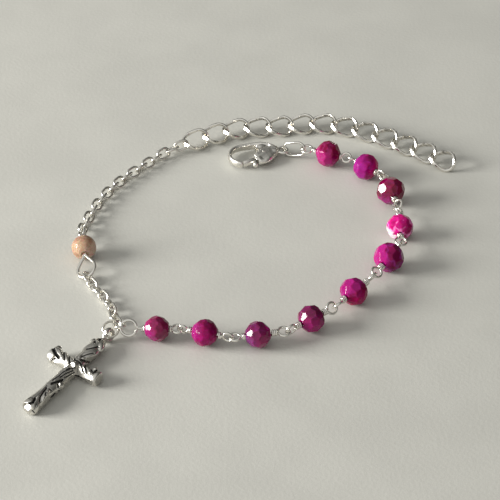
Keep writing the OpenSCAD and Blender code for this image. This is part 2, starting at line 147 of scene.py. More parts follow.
@dataclass(frozen=True)
class Layout:
    """Sizes in millimetres and places that the pieces share with the solids."""

    # a wire's size is its diameter, and the radius of a ring or eye is to the wire's middle
    bead_width: float = 5.0
    length_share: float = 0.88
    bead_hole: float = 0.8
    pin: float = 0.44
    eye_radius: float = 0.80
    neck: float = 0.12
    first_neck: float = 1.05
    play: float = 0.14
    peach_width: float = 4.4
    small_eye: float = 0.74
    small_eye_roll: float = 30.0
    pear_radius: float = 1.72
    pear_reach: float = 2.75
    pear_wire: float = 0.58
    pear_slope: float = -17.0
    pear_roll: float = 30.0
    fine_pitch: float = 1.98
    fine_half_width: float = 0.84
    fine_wire: float = 0.42
    fine_long: int = 18
    fine_short: int = 8
    curb_pitch: float = 4.25
    curb_half_width: float = 1.80
    curb_wire: float = 0.62
    curb_twist: float = 90.0
    curb_count: int = 13
    curb_start_height: float = 1.64
    clasp_link_half: float = 2.20
    clasp_link_half_width: float = 1.30
    clasp_link_roll: float = -80.0
    clasp_link_slope: float = -19.0
    clasp_link_heading: float = 158.0
    clasp_eye_radius: float = 0.84
    clasp_eye_wire: float = 0.62
    clasp_pull: float = 186.0
    clasp_heading: float = 195.0
    clasp_thickness: float = 2.3
    ring_radius: float = 1.30
    ring_wire: float = 0.40
    bail_radius: float = 1.00
    bail_wire: float = 0.76
    bail_angle: float = -110.0
    cross_length: float = 21.3
    cross_span: float = 10.6
    cross_back: float = 1.2
    cross_rise: float = 0.10
    cross_heading: float = -123.8
    first_eye: tuple[float, float] = (-20.45, -23.95)
    peach_at: tuple[float, float] = (-29.4, -2.1)
    peach_heading: float = -82.0
    peach_rise: float = 0.05

    def width(self, i: int) -> float:
        """Width of a bead."""
        return self.bead_width * BEADS[i][0]

    def half(self, i: int) -> float:
        """Half the length of a bead along its hole."""
        return self.width(i) * self.length_share / 2

    def coil_pitch(self) -> float:
        """Advance of a wrapped coil in one turn."""
        return self.pin * 0.96

    def peach_half(self) -> float:
        """Half the length of the peach bead along its hole."""
        return self.peach_width * 0.48

    def end_neck(self, i: int, end: int) -> float:
        """Straight wire between the coil and the eye."""
        return self.first_neck if i == 0 and end == 0 else self.neck

    def eye(self, i: int, end: int) -> float:
        """Radius of an eye to the middle of its wire."""
        return self.eye_radius * BEADS[i][3 + 3 * end]

    def eye_at(self, i: int, end: int) -> float:
        """Distance from a bead's middle to the middle of its eye."""
        coil = BEADS[i][2 + 3 * end] * self.coil_pitch()
        return self.half(i) + coil + self.end_neck(i, end) + self.eye(i, end)

    def reach(self, i: int, end: int) -> float:
        """Distance from a bead's middle to the pivot shared with its neighbour."""
        return self.eye_at(i, end) + self.eye(i, end) - self.pin / 2 - self.play / 2

    def bead(self, i: int) -> Vector:
        """Middle of a bead, counted on from the first eye.

        Args:
            i: the bead.

        Returns:
            Its middle in the layout.
        """
        plan = Vector((*self.first_eye, 0)) + self.eye_at(0, 0) * direction(BEADS[0][1])
        for k in range(i):
            plan += self.reach(k, 1) * direction(BEADS[k][1])
            plan += self.reach(k + 1, 0) * direction(BEADS[k + 1][1])
        return plan + Vector((0, 0, self.width(i) / 2))

    def peach(self) -> Vector:
        """Middle of the peach bead."""
        return Vector((*self.peach_at, self.peach_width / 2 + self.peach_rise))

    def route(self, start: Vector, turn: Table, rise: Table, step: float, n: int) -> Vector:
        """Point after n steps along a chain.

        Args:
            start: first pivot.
            turn: headings along the links.
            rise: slopes along the links.
            step: distance from one pivot to the next.
            n: number of steps.

        Returns:
            The pivot after n steps.
        """
        at = start.copy()
        for k in range(n):
            at += step * direction(lookup(k, turn), lookup(k, rise))
        return at

    def link(self, start: Vector, turn: Table, rise: Table, step: float, n: int) -> Vector:
        """Middle of link n of a chain, between its two pivots."""
        a = self.route(start, turn, rise, step, n)
        return (a + self.route(start, turn, rise, step, n + 1)) / 2

    def long_start(self) -> Vector:
        """Pivot between the peach bead's small eye and the long fine chain.

        Returns:
            The pivot in the layout.
        """
        at = self.peach_half() + self.coil_pitch() + self.neck + self.small_eye
        out = at + self.small_eye - self.pin / 2 - self.play / 2
        return self.peach() - out * direction(self.peach_heading)

    def short_start(self) -> Vector:
        """Pivot between the pear-shaped eye and the short fine chain.

        Returns:
            The pivot in the layout.
        """
        out = self.pear_reach + self.pear_radius - self.pear_wire / 2 - self.play / 2
        hole = self.peach() + self.peach_half() * direction(self.peach_heading)
        return hole + out * direction(self.peach_heading, self.pear_slope)

    def curb_start(self) -> Vector:
        """Pivot between the long fine chain and the extension chain."""
        end = self.route(self.long_start(), LONG_ROUTE, LONG_SLOPE, self.fine_pitch, self.fine_long)
        return Vector((end.x, end.y, self.curb_start_height))

    def strand_end(self) -> Vector:
        """Pivot between the last eye of the strand and the clasp's link."""
        last = len(BEADS) - 1
        return self.bead(last) + self.reach(last, 1) * direction(BEADS[last][1])

    def clasp_link_reach(self) -> Vector:
        """Way from a pivot of the clasp's link to the link's middle."""
        out = self.clasp_link_half - self.pin / 2 - self.play / 2
        return out * direction(self.clasp_link_heading, self.clasp_link_slope)

    def clasp_link(self) -> Matrix:
        """Placing of the long link that holds the clasp."""
        middle = self.strand_end() + self.clasp_link_reach()
        return placed(middle, self.clasp_link_roll, self.clasp_link_slope, self.clasp_link_heading)

    def clasp(self) -> Matrix:
        """Placing of the clasp: X from its end ring to its hook.

        Returns:
            The matrix from the clasp's own space to the row frame in millimetres.
        """
        pull = self.clasp_eye_radius - self.clasp_eye_wire / 2 - self.play / 2
        end = self.strand_end() + 2 * self.clasp_link_reach() + pull * direction(self.clasp_pull)
        return placed((end.x, end.y, self.clasp_thickness / 2 + 0.02), 0, 0, self.clasp_heading)

    def cross(self) -> Matrix:
        """Placing of the cross: X from its bail to its foot.

        Returns:
            The matrix from the cross's own space to the row frame in millimetres.
        """
        out = self.ring_radius + self.bail_radius - self.ring_wire / 2 - self.bail_wire / 2 - self.play / 2
        angle = math.radians(self.bail_angle)
        rim = Vector((math.cos(angle), math.sin(angle), 0))
        hang = Vector(RING_POSE[0]) + out * (placed(*RING_POSE).to_3x3() @ rim)
        return placed((hang.x, hang.y, self.cross_back + self.cross_rise), 0, 0, self.cross_heading)


LAYOUT = Layout()

# modelling helpers


def deselect() -> None:
    """Deselects every object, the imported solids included."""
    if bpy.context.object is not None and bpy.context.object.mode != "OBJECT":
        bpy.ops.object.mode_set(mode="OBJECT")
    bpy.ops.object.select_all(action="DESELECT")


def pick(obj: bpy.types.Object) -> bpy.types.Object:
    """Makes an object the only selected and the active one.

    Args:
        obj: the object.

    Returns:
        The same object.
    """
    deselect()
    obj.select_set(True)
    bpy.context.view_layer.objects.active = obj
    return obj


def apply_modifier(obj: bpy.types.Object, kind: str, **values: object) -> None:
    """Adds a modifier to obj, sets it and applies it.

    Args:
        obj: the mesh object.
        kind: the modifier's type.
        **values: the modifier's settings.
    """
    pick(obj)
    mod = obj.modifiers.new(kind.lower(), kind)
    for key, value in values.items():
        setattr(mod, key, value)
    bpy.ops.object.modifier_apply(modifier=mod.name)


def cut_away(obj: bpy.types.Object, tool: bpy.types.Object, how: str = "DIFFERENCE") -> None:
    """Cuts tool out of obj, or joins it, and deletes the tool.

    Args:
        obj: the mesh object that is kept.
        tool: the mesh object that acts on it.
        how: the boolean operation.
    """
    apply_modifier(obj, "BOOLEAN", object=tool, operation=how, solver="EXACT")
    bpy.data.objects.remove(tool)


def round_edges(obj: bpy.types.Object, width: float, segments: int, angle: float = 50.0) -> None:
    """Bevels the edges of obj that are sharper than an angle.

    Args:
        obj: the mesh object.
        width: the bevel's width.
        segments: faces across the bevel.
        angle: the angle in degrees.
    """
    limit = math.radians(angle)
    apply_modifier(obj, "BEVEL", width=width, segments=segments, limit_method="ANGLE", angle_limit=limit)


def cylinder(radius: float, depth: float, at: Sequence[float], sides: int) -> bpy.types.Object:
    """Adds an upright cylinder and applies its place.

    Args:
        radius: its radius.
        depth: its height.
        at: its middle.
        sides: vertices round it.

    Returns:
        The cylinder.
    """
    deselect()
    bpy.ops.mesh.primitive_cylinder_add(vertices=sides, radius=radius, depth=depth, location=at)
    bpy.ops.object.transform_apply(location=True)
    return bpy.context.object


def press(obj: bpy.types.Object, out: Vector, reach: float) -> None:
    """Flattens what stands beyond a plane.

    Args:
        obj: the mesh object.
        out: the plane's outward direction.
        reach: its distance from the origin along out.
    """
    for vert in obj.data.vertices:
        over = out.dot(vert.co) - reach
        if over > 0:
            vert.co -= out * over


def join(parts: Sequence[bpy.types.Object], name: str) -> bpy.types.Object:
    """Joins mesh objects into one.

    Args:
        parts: the objects, the first of which is kept.
        name: name of the result.

    Returns:
        The joined object.
    """
    pick(parts[0])
    for part in parts:
        part.select_set(True)
    if len(parts) > 1:
        bpy.ops.object.join()
    parts[0].name = parts[0].data.name = name
    return parts[0]


def settle(obj: bpy.types.Object, at: Matrix, scale: float = 1.0) -> bpy.types.Object:
    """Puts obj in place and applies its place to its mesh.

    Args:
        obj: the mesh object.
        at: its placing matrix.
        scale: size of one of its units, MM for a finished piece.

    Returns:
        The same object.
    """
    pick(obj)
    obj.matrix_world = Matrix.Scale(scale, 4) @ at @ obj.matrix_world
    bpy.ops.object.transform_apply(location=True, rotation=True, scale=True)
    return obj


def twin(obj: bpy.types.Object) -> bpy.types.Object:
    """Copies an object with a mesh of its own.

    Args:
        obj: the mesh object.

    Returns:
        The copy.
    """
    pick(obj)
    bpy.ops.object.duplicate(linked=False)
    return bpy.context.object


def smooth(obj: bpy.types.Object, angle: float = 40.0) -> bpy.types.Object:
    """Shades an object smooth, except across its sharp edges.

    Args:
        obj: the mesh object.
        angle: the angle from which an edge is sharp, in degrees.

    Returns:
        The same object.
    """
    pick(obj)
    bpy.ops.object.shade_smooth_by_angle(angle=math.radians(angle))
    return obj


def wire(points: Sequence[Sequence[float]], radius: float, closed: bool = False) -> bpy.types.Object:
    """Bends round wire along points.

    Args:
        points: the wire's middle line, close enough to look smooth.
        radius: the wire's radius.
        closed: True for a wire that meets its own start.

    Returns:
        A mesh tube with closed ends.
    """
    deselect()
    bpy.ops.curve.primitive_nurbs_path_add()
    obj = bpy.context.object
    curve = obj.data
    curve.splines.clear()
    spline = curve.splines.new("POLY")
    spline.points.add(len(points) - 1)
    for place, point in zip(spline.points, points):
        place.co = (*point, 1)
    spline.use_cyclic_u = closed
    curve.bevel_depth = radius
    curve.bevel_resolution = 3
    curve.use_fill_caps = True
    curve.twist_mode = "MINIMUM"
    pick(obj)
    bpy.ops.object.convert(target="MESH")
    return smooth(bpy.context.object, 60)


def oval_link(half_long: float, half_wide: float, gauge: float, segments: int = 28) -> bpy.types.Object:
    """Models a link: a ring of wire with its halves moved apart.

    Args:
        half_long: half its length to the middle of the wire.
        half_wide: half its width to the middle of the wire.
        gauge: the wire's diameter.
        segments: sections round the link, a multiple of four.

    Returns:
        The link round its middle, long along X.
    """
    deselect()
    bpy.ops.mesh.primitive_torus_add(
        major_radius=half_wide, minor_radius=gauge / 2, major_segments=segments, minor_segments=10
    )
    link = bpy.context.object
    bpy.ops.object.mode_set(mode="EDIT")
    for side in (1, -1):
        bpy.ops.mesh.select_all(action="DESELECT")
        mesh = bmesh.from_edit_mesh(link.data)
        for vert in mesh.verts:
            vert.select = vert.co.x * side > 1e-4
        mesh.select_flush_mode()
        bmesh.update_edit_mesh(link.data)
        bpy.ops.transform.translate(value=(side * (half_long - half_wide), 0, 0))
    bpy.ops.object.mode_set(mode="OBJECT")
    return smooth(link, 60)


@dataclass(frozen=True)
class Station:
    """One elliptical section of a lofted form, across a heading in the XY plane."""

    at: tuple[float, float, float]
    heading: float
    half_wide: float
    half_high: float

    def matrix(self) -> Matrix:
        """Takes the unit circle in XY to this section.

        Returns:
            The matrix.
        """
        turn = Matrix.Rotation(math.radians(self.heading), 4, "Z")
        stand = Matrix(((0, 0, 1, 0), (1, 0, 0, 0), (0, 1, 0, 0), (0, 0, 0, 1)))
        size = Matrix.Diagonal((self.half_wide, self.half_high, 1, 1))
        return Matrix.Translation(self.at) @ turn @ stand @ size


def loft(stations: Sequence[Station], sides: int = 16) -> bpy.types.Object:
    """Extrudes a disc through stations into one closed form.

    Args:
        stations: the sections in order.
        sides: vertices in each section.

    Returns:
        The closed mesh.
    """
    deselect()
    bpy.ops.mesh.primitive_circle_add(vertices=sides, radius=1, fill_type="NGON")
    obj = bpy.context.object
    obj.data.transform(stations[0].matrix())
    bpy.ops.object.mode_set(mode="EDIT")
    bpy.ops.mesh.select_all(action="SELECT")
    for here, there in zip(stations, stations[1:]):
        bpy.ops.mesh.extrude_region_move()
        move = there.matrix() @ here.matrix().inverted()
        mesh = bmesh.from_edit_mesh(obj.data)
        for vert in mesh.verts:
            if vert.select:
                vert.co = move @ vert.co
        bmesh.update_edit_mesh(obj.data)
    bpy.ops.mesh.select_all(action="SELECT")
    bpy.ops.mesh.normals_make_consistent(inside=False)
    bpy.ops.object.mode_set(mode="OBJECT")
    return obj


def loft_rows(rows: Sequence[Sequence[float]], high: float = 0.0, sides: int = 20) -> bpy.types.Object:
    """Lofts sections given as rows of x, y, heading, half width and half height.

    Args:
        rows: the sections in order.
        high: height of their middles.
        sides: vertices in each section.

    Returns:
        The closed mesh.
    """
    return loft([Station((x, y, high), turn, wide, tall) for x, y, turn, wide, tall in rows], sides)


def bore_tool(
    half: float, mouth: float, hole: float, depths: tuple[float, float], sides: int
) -> bpy.types.Object:
    """Lofts what is cut out of a bead: a hole that widens at both ends.

    Args:
        half: half the bead's length.
        mouth: radius past the bead's end.
        hole: the hole's diameter.
        depths: how far the mouth starts outside the bead and ends inside it.
        sides: vertices round it.

    Returns:
        The tool along X.
    """
    outside, inside = depths
    ends = ((half + outside, mouth), (half - inside, hole / 2))
    rows = [(-x, 0, 0, radius, radius) for x, radius in ends]
    return loft_rows(rows + [(x, 0, 0, radius, radius) for x, radius in reversed(ends)], 0, sides)


def ball(at: Sequence[float], size: Sequence[float], turn: float = 0.0) -> bpy.types.Object:
    """Models an egg-shaped lobe.

    Args:
        at: its middle.
        size: its three half lengths.
        turn: its turn about Z in degrees.

    Returns:
        The lobe.
    """
    deselect()
    bpy.ops.mesh.primitive_uv_sphere_add(segments=20, ring_count=12, radius=1)
    obj = bpy.context.object
    place = (
        Matrix.Translation(at)
        @ Matrix.Rotation(math.radians(turn), 4, "Z")
        @ Matrix.Diagonal((*size, 1))
    )
    return settle(obj, place)


def arc(radius: float, start: float, sweep: float, count: int) -> list[Vector]:
    """Points of an arc in the XY plane.

    Args:
        radius: its radius.
        start: first angle in degrees.
        sweep: turn to the last point in degrees.
        count: number of points.

    Returns:
        The points.
    """
    angles = [math.radians(start + sweep * k / (count - 1)) for k in range(count)]
    return [Vector((radius * math.cos(a), radius * math.sin(a), 0)) for a in angles]


def arrays(obj: bpy.types.Object) -> tuple[np.ndarray, np.ndarray]:
    """Reads the points and normals of a mesh.

    Args:
        obj: the mesh object.

    Returns:
        Both as arrays with a row for each vertex.
    """
    found = []
    for key in ("co", "normal"):
        flat = np.empty(len(obj.data.vertices) * 3)
        obj.data.vertices.foreach_get(key, flat)
        found.append(flat.reshape(-1, 3))
    return found[0], found[1]


def hollows(obj: bpy.types.Object, passes: int, reach: float) -> None:
    """Writes the attribute recess: how deep each point lies below its surroundings.

    Args:
        obj: the mesh object, in millimetres.
        passes: how often the surroundings are averaged.
        reach: depth in millimetres that counts as a full recess.
    """
    mesh = obj.data
    points, normals = arrays(obj)
    edges = np.empty(len(mesh.edges) * 2, np.int32)
    mesh.edges.foreach_get("vertices", edges)
    a, b = edges.reshape(-1, 2).T
    degree = np.maximum(np.bincount(edges, minlength=len(points)), 1)[:, None]
    around = points.copy()
    for _ in range(passes):
        total = np.zeros_like(around)
        np.add.at(total, a, around[b])
        np.add.at(total, b, around[a])
        around = (around + total / degree) / 2
    depth = np.einsum("ij,ij->i", around - points, normals) / reach
    layer = mesh.attributes.new("recess", "FLOAT", "POINT")
    layer.data.foreach_set("value", np.clip(depth, -1, 1).astype(np.float32))


@dataclass(frozen=True)
class Mark:
    """A groove, dent or raised strand along points of a casting's plan at one height."""

    points: tuple[tuple[float, float], ...]
    high: float
    wide: float
    deep: float
    ink: float = 1.0

    def share(self, seen: np.ndarray, flat: np.ndarray) -> np.ndarray:
        """Strength of the mark, 1 on its line and 0 outside it.

        Args:
            seen: the mesh's points, flattened along the viewing line.
            flat: takes a point of the casting to that flat view.

        Returns:
            One value for each point.
        """
        line = [flat @ np.array((u, v, self.high)) for u, v in self.points]
        best = np.full(len(seen), 1e9)
        for a, b in zip(line, line[1:] or line):
            along = b - a
            t = np.clip((seen - a) @ along / max(along @ along, 1e-9), 0, 1)
            best = np.minimum(best, np.linalg.norm(seen - a - t[:, None] * along, axis=1))
        fall = np.clip(1 - best / self.wide, 0, 1)
        return fall * fall * (3 - 2 * fall)


def hand_over(
    piece: bpy.types.Object, finish: bpy.types.Material, slot: str, body: str, *nodes: str
) -> None:
    """Dresses a finished piece and puts it on its body.

    Args:
        piece: the piece, settled in the row frame.
        finish: its material.
        slot: a material slot's name; not used.
        body: the body that it rides on.
        *nodes: the solids that it stands for.
    """
    piece.data.materials.clear()
    piece.data.materials.append(finish)
    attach(piece, body)
    if nodes:
        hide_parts(*nodes)
    LOG.info("%s: %d faces, for %s", piece.name, len(piece.data.polygons), ", ".join(nodes))


# shader groups


class Shared(Enum):
    """Node groups that several finishes use."""

    POLISH = "polish_wear"
    MOTTLE = "stone_mottle"


Socket = bpy.types.NodeSocket


@dataclass
class Nodes:
    """Short ways to add and join the nodes of one tree."""

    tree: bpy.types.NodeTree

    def add(self, kind: str, **values: object) -> bpy.types.Node:
        """Adds a node and sets its properties.

        Args:
            kind: the node's type name without ShaderNode.
            **values: properties by name.

        Returns:
            The node.
        """
        node = self.tree.nodes.new("ShaderNode" + kind)
        for key, value in values.items():
            setattr(node, key, value)
        return node

    def feed(self, socket: Socket, value: object) -> None:
        """Joins a value to a socket, or sets it there.

        Args:
            socket: the input.
            value: another node's output, or a plain value.
        """
        if isinstance(value, bpy.types.NodeSocket):
            self.tree.links.new(value, socket)
        else:
            socket.default_value = value

    def math(self, how: str, a: object, b: object = 0.0, c: object = 0.0) -> Socket:
        """Adds a Math node.

        Args:
            how: its operation.
            a: first value or socket.
            b: second one.
            c: third one.

        Returns:
            Its output.
        """
        node = self.add("Math", operation=how)
        for socket, value in zip(node.inputs, (a, b, c)):
            self.feed(socket, value)
        return node.outputs[0]

    def times(self, a: object, b: object) -> Socket:
        """Product of two values or sockets."""
        return self.math("MULTIPLY", a, b)

    def noise(self, vector: object, scale: float, detail: float = 3.0, rough: float = 0.5) -> Socket:
        """Adds a Noise Texture.

        Args:
            vector: the coordinates.
            scale: its scale.
            detail: its detail.
            rough: its roughness.

        Returns:
            Its factor.
        """
        node = self.add("TexNoise")
        self.feed(node.inputs["Vector"], vector)
        self.feed(node.inputs["Scale"], scale)
        self.feed(node.inputs["Detail"], detail)
        self.feed(node.inputs["Roughness"], rough)
        return node.outputs[0]

    def ramp(self, value: object, low: float, high: float, a: float = 0.0, b: float = 1.0) -> Socket:
        """Adds a smooth step.

        Args:
            value: what it reads.
            low: value at which it starts.
            high: value at which it ends.
            a: result up to low.
            b: result from high on.

        Returns:
            Its result.
        """
        node = self.add("MapRange", interpolation_type="SMOOTHSTEP")
        keys = ("Value", "From Min", "From Max", "To Min", "To Max")
        for key, item in zip(keys, (value, low, high, a, b)):
            self.feed(node.inputs[key], item)
        return node.outputs[0]

    def mix(self, mask: object, a: object, b: object) -> Socket:
        """Mixes two colours.

        Args:
            mask: share of the second colour.
            a: first colour.
            b: second colour.

        Returns:
            The mixed colour.
        """
        node = self.add("Mix", data_type="RGBA")
        for socket, value in ((node.inputs[0], mask), (node.inputs[6], a), (node.inputs[7], b)):
            self.feed(socket, value)
        return node.outputs[2]

    def dot(self, vector: Socket, axis: Sequence[float]) -> Socket:
        """Measures a vector along an axis.

        Args:
            vector: the vector's socket.
            axis: the direction.

        Returns:
            The length along it.
        """
        node = self.add("VectorMath", operation="DOT_PRODUCT")
        self.feed(node.inputs[0], vector)
        node.inputs[1].default_value = axis
        return node.outputs["Value"]

    def bump(self, height: object, strength: float, depth: float) -> Socket:
        """Adds a Bump node.

        Args:
            height: the relief.
            strength: its strength.
            depth: its height in metres.

        Returns:
            The bent normal.
        """
        node = self.add("Bump")
        self.feed(node.inputs["Height"], height)
        self.feed(node.inputs["Strength"], strength)
        self.feed(node.inputs["Distance"], depth)
        return node.outputs[0]

    def local(self, centre: Vector, turn: Sequence[float], size: float) -> Socket:
        """Fits object coordinates to a piece.

        Args:
            centre: the piece's middle.
            turn: turn of the new axes.
            size: length of their unit.

        Returns:
            The coordinates.
        """
        place = self.add("Mapping", vector_type="TEXTURE")
        self.tree.links.new(self.add("TexCoord").outputs["Object"], place.inputs["Vector"])
        place.inputs["Location"].default_value = centre
        place.inputs["Rotation"].default_value = turn
        place.inputs["Scale"].default_value = (size, size, size)
        return place.outputs[0]


def new_group(
    which: Shared, takes: dict[str, float], gives: Sequence[str]
) -> tuple[Nodes, Callable, Callable]:
    """Starts a shader node group whose first input is a vector.

    Args:
        which: the group.
        takes: names and first values of its further inputs.
        gives: names of its outputs.

    Returns:
        Its nodes, a function from input name to socket and one from output name to socket.
    """
    tree = bpy.data.node_groups.new(which.value, "ShaderNodeTree")
    tree.interface.new_socket("Vector", in_out="INPUT", socket_type="NodeSocketVector")
    for name, value in takes.items():
        made = tree.interface.new_socket(name, in_out="INPUT", socket_type="NodeSocketFloat")
        made.default_value = value
    for name in gives:
        tree.interface.new_socket(name, in_out="OUTPUT", socket_type="NodeSocketFloat")
    start = tree.nodes.new("NodeGroupInput")
    end = tree.nodes.new("NodeGroupOutput")
    return Nodes(tree), lambda name: start.outputs[name], lambda name: end.inputs[name]


def build_polish() -> None:
    """Builds the group for worn polish: shallow dents, smudges and a thin film."""
    n, given, result = new_group(
        Shared.POLISH, {"Scale": 1.0, "Tarnish": 0.3}, ("Height", "Smudge", "Tarnish")
    )
    spot = given("Vector")
    scale = given("Scale")
    stretch = n.add("VectorMath", operation="MULTIPLY")
    n.feed(stretch.inputs[0], spot)
    stretch.inputs[1].default_value = (1.0, 5.0, 2.0)
    scratches = n.noise(stretch.outputs[0], n.times(scale, 6.0), 5.0, 0.65)
    dents = n.noise(spot, n.times(scale, 1.3), 2.0)
    n.feed(result("Height"), n.math("ADD", n.times(scratches, 0.35), dents))
    n.feed(result("Smudge"), n.noise(spot, n.times(scale, 0.8), 4.0, 0.6))
    film = n.noise(spot, n.times(scale, 0.45), 5.0, 0.7)
    n.feed(result("Tarnish"), n.times(n.ramp(film, 0.45, 0.75), given("Tarnish")))


def build_mottle() -> None:
    """Builds the group for dyed stone: clouds, veins and grain."""
    n, given, result = new_group(
        Shared.MOTTLE, {"Scale": 1.0, "Vein width": 0.06}, ("Cloud", "Vein", "Grain")
    )
    spot = given("Vector")
    scale = given("Scale")
    warp = n.add("TexNoise")
    n.feed(warp.inputs["Vector"], spot)
    n.feed(warp.inputs["Scale"], n.times(scale, 1.1))
    spread = n.add("VectorMath", operation="MULTIPLY_ADD")
    n.feed(spread.inputs[0], warp.outputs["Color"])
    spread.inputs[1].default_value = (0.9, 0.9, 0.9)
    n.feed(spread.inputs[2], spot)
    n.feed(result("Cloud"), n.noise(spread.outputs[0], n.times(scale, 1.4), 4.0, 0.55))
    folds = n.noise(spread.outputs[0], n.times(scale, 0.8), 2.0)
    ridge = n.math("ABSOLUTE", n.math("SUBTRACT", folds, 0.5))
    n.feed(result("Vein"), n.ramp(n.math("DIVIDE", ridge, given("Vein width")), 1.0, 0.0))
    n.feed(result("Grain"), n.noise(spot, n.times(scale, 9.0), 3.0, 0.6))


def use_group(n: Nodes, which: Shared, vector: object, **values: float) -> dict[str, Socket]:
    """Places a shared group in a material.

    Args:
        n: the material's nodes.
        which: the group.
        vector: the coordinates that it reads.
        **values: its other inputs, with _ for a space.

    Returns:
        Its outputs by name.
    """
    node = n.add("Group", node_tree=bpy.data.node_groups[which.value])
    n.feed(node.inputs["Vector"], vector)
    for key, value in values.items():
        node.inputs[key.replace("_", " ")].default_value = value
    return {socket.name: socket for socket in node.outputs}


Colour = tuple[float, float, float]


def paint(rgb: Sequence[float]) -> tuple[float, float, float, float]:
    """Linear colour with alpha from an sRGB colour of 0 to 255."""
    lin = [(c / 255 / 12.92) if c <= 10 else ((c / 255 + 0.055) / 1.055) ** 2.4 for c in rgb]
    return (lin[0], lin[1], lin[2], 1.0)


def new_material(name: str) -> tuple[bpy.types.Material, Nodes, bpy.types.Node]:
    """Starts a material.

    Args:
        name: its name.

    Returns:
        The material, its nodes and its Principled BSDF.
    """
    made = bpy.data.materials.new(name)
    made.use_nodes = True
    shader = next(x for x in made.node_tree.nodes if x.type == "BSDF_PRINCIPLED")
    return made, Nodes(made.node_tree), shader


# finishes


@dataclass(frozen=True)
class Tone:
    """A second colour over one side of a stone, seen from the bead's front; some are the stone's own
    patches, some painted reflection on the window's side and painted shade on the far side.
    """

    colour: Colour
    angle: float
    cut: float
    soft: float = 0.35
    amount: float = 1.0


@dataclass(frozen=True)
class StoneFinish:
    """Polished dyed stone: a body colour, patches that are partly painted reflection and painted shade,
    veins and a glossy skin.
    """

    name: str
    body: Colour
    deep: Colour
    vein: Colour
    tones: tuple[Tone, ...] = ()
    vein_amount: float = 0.35
    vein_width: float = 0.06
    grain: float = 0.25
    roughness: float = 0.10
    glow: float = 0.70
    shine: float = 0.18
    coat: float = 0.0
    steps: tuple[float, float, float] = (3.7, 1.9, 5.3)
    scatter: tuple[float, float, float] = (1.0, 0.25, 0.5)
    scatter_reach: float = 0.0015

    def build(self, centre: Vector, radius: float, seed: float) -> bpy.types.Material:
        """Builds the material for one bead.

        Args:
            centre: the bead's middle in metres.
            radius: its radius in metres.
            seed: moves the pattern, so that no two beads match.

        Returns:
            The material.
        """
        made, n, shader = new_material(self.name)
        spot = n.local(centre, (math.radians(-CAMERA_ELEVATION), 0, 0), radius)
        shift = n.add("VectorMath", operation="ADD")
        n.feed(shift.inputs[0], spot)
        shift.inputs[1].default_value = tuple(seed * step for step in self.steps)
        stone = use_group(n, Shared.MOTTLE, shift.outputs[0], Scale=1.0, Vein_width=self.vein_width)
        colour = n.mix(n.ramp(stone["Cloud"], 0.36, 0.66), paint(self.deep), paint(self.body))
        # each tone covers the side that it faces as seen; on the window's side it paints reflection, on
        # the far side it paints shade
        for tone in self.tones:
            a = math.radians(tone.angle)
            along = n.dot(spot, (math.cos(a), 0, math.sin(a)))
            wobble = n.math("MULTIPLY_ADD", stone["Cloud"], 0.9, -0.45)
            edge = n.math("ADD", along, wobble)
            mask = n.ramp(edge, tone.cut - tone.soft, tone.cut + tone.soft, 0.0, tone.amount)
            colour = n.mix(mask, colour, paint(tone.colour))
        colour = n.mix(n.times(stone["Vein"], self.vein_amount), colour, paint(self.vein))
        grain = n.ramp(stone["Grain"], 0.42, 0.72, 0.0, self.grain)
        colour = n.mix(grain, colour, paint([c * 0.62 for c in self.body]))
        n.feed(shader.inputs["Base Color"], colour)
        rough = n.ramp(stone["Grain"], 0.3, 0.8, self.roughness, self.roughness * 1.6)
        n.feed(shader.inputs["Roughness"], rough)
        n.feed(shader.inputs["Normal"], n.bump(stone["Grain"], 0.05, 0.00004))
        shader.inputs["IOR"].default_value = 1.54
        shader.inputs["Subsurface Weight"].default_value = self.glow
        shader.inputs["Subsurface Radius"].default_value = self.scatter
        shader.inputs["Subsurface Scale"].default_value = self.scatter_reach
        shader.inputs["Specular IOR Level"].default_value = self.shine
        shader.inputs["Coat Weight"].default_value = self.coat
        shader.inputs["Coat Roughness"].default_value = 0.04
        return made


@dataclass(frozen=True)
class SilverFinish:
    """Bright plated wire or a polished casting, with scratches and a thin film."""

    name: str
    bright: Colour = (236, 233, 226)
    film: Colour = (176, 168, 150)
    roughness: float = 0.14
    scale: float = 520.0
    tarnish: float = 0.35
    dent: float = 0.10

    def build(self) -> bpy.types.Material:
        """Builds the material.

        Returns:
            The material.
        """
        made, n, shader = new_material(self.name)
        spot = n.add("TexCoord").outputs["Object"]
        wear = use_group(n, Shared.POLISH, spot, Scale=self.scale, Tarnish=self.tarnish)
        n.feed(shader.inputs["Base Color"], n.mix(wear["Tarnish"], paint(self.bright), paint(self.film)))
        rough = n.ramp(wear["Smudge"], 0.3, 0.75, self.roughness * 0.7, self.roughness * 1.7)
        n.feed(shader.inputs["Roughness"], rough)
        n.feed(shader.inputs["Normal"], n.bump(wear["Height"], self.dent, 0.00006))
        shader.inputs["Metallic"].default_value = 1.0
        return made


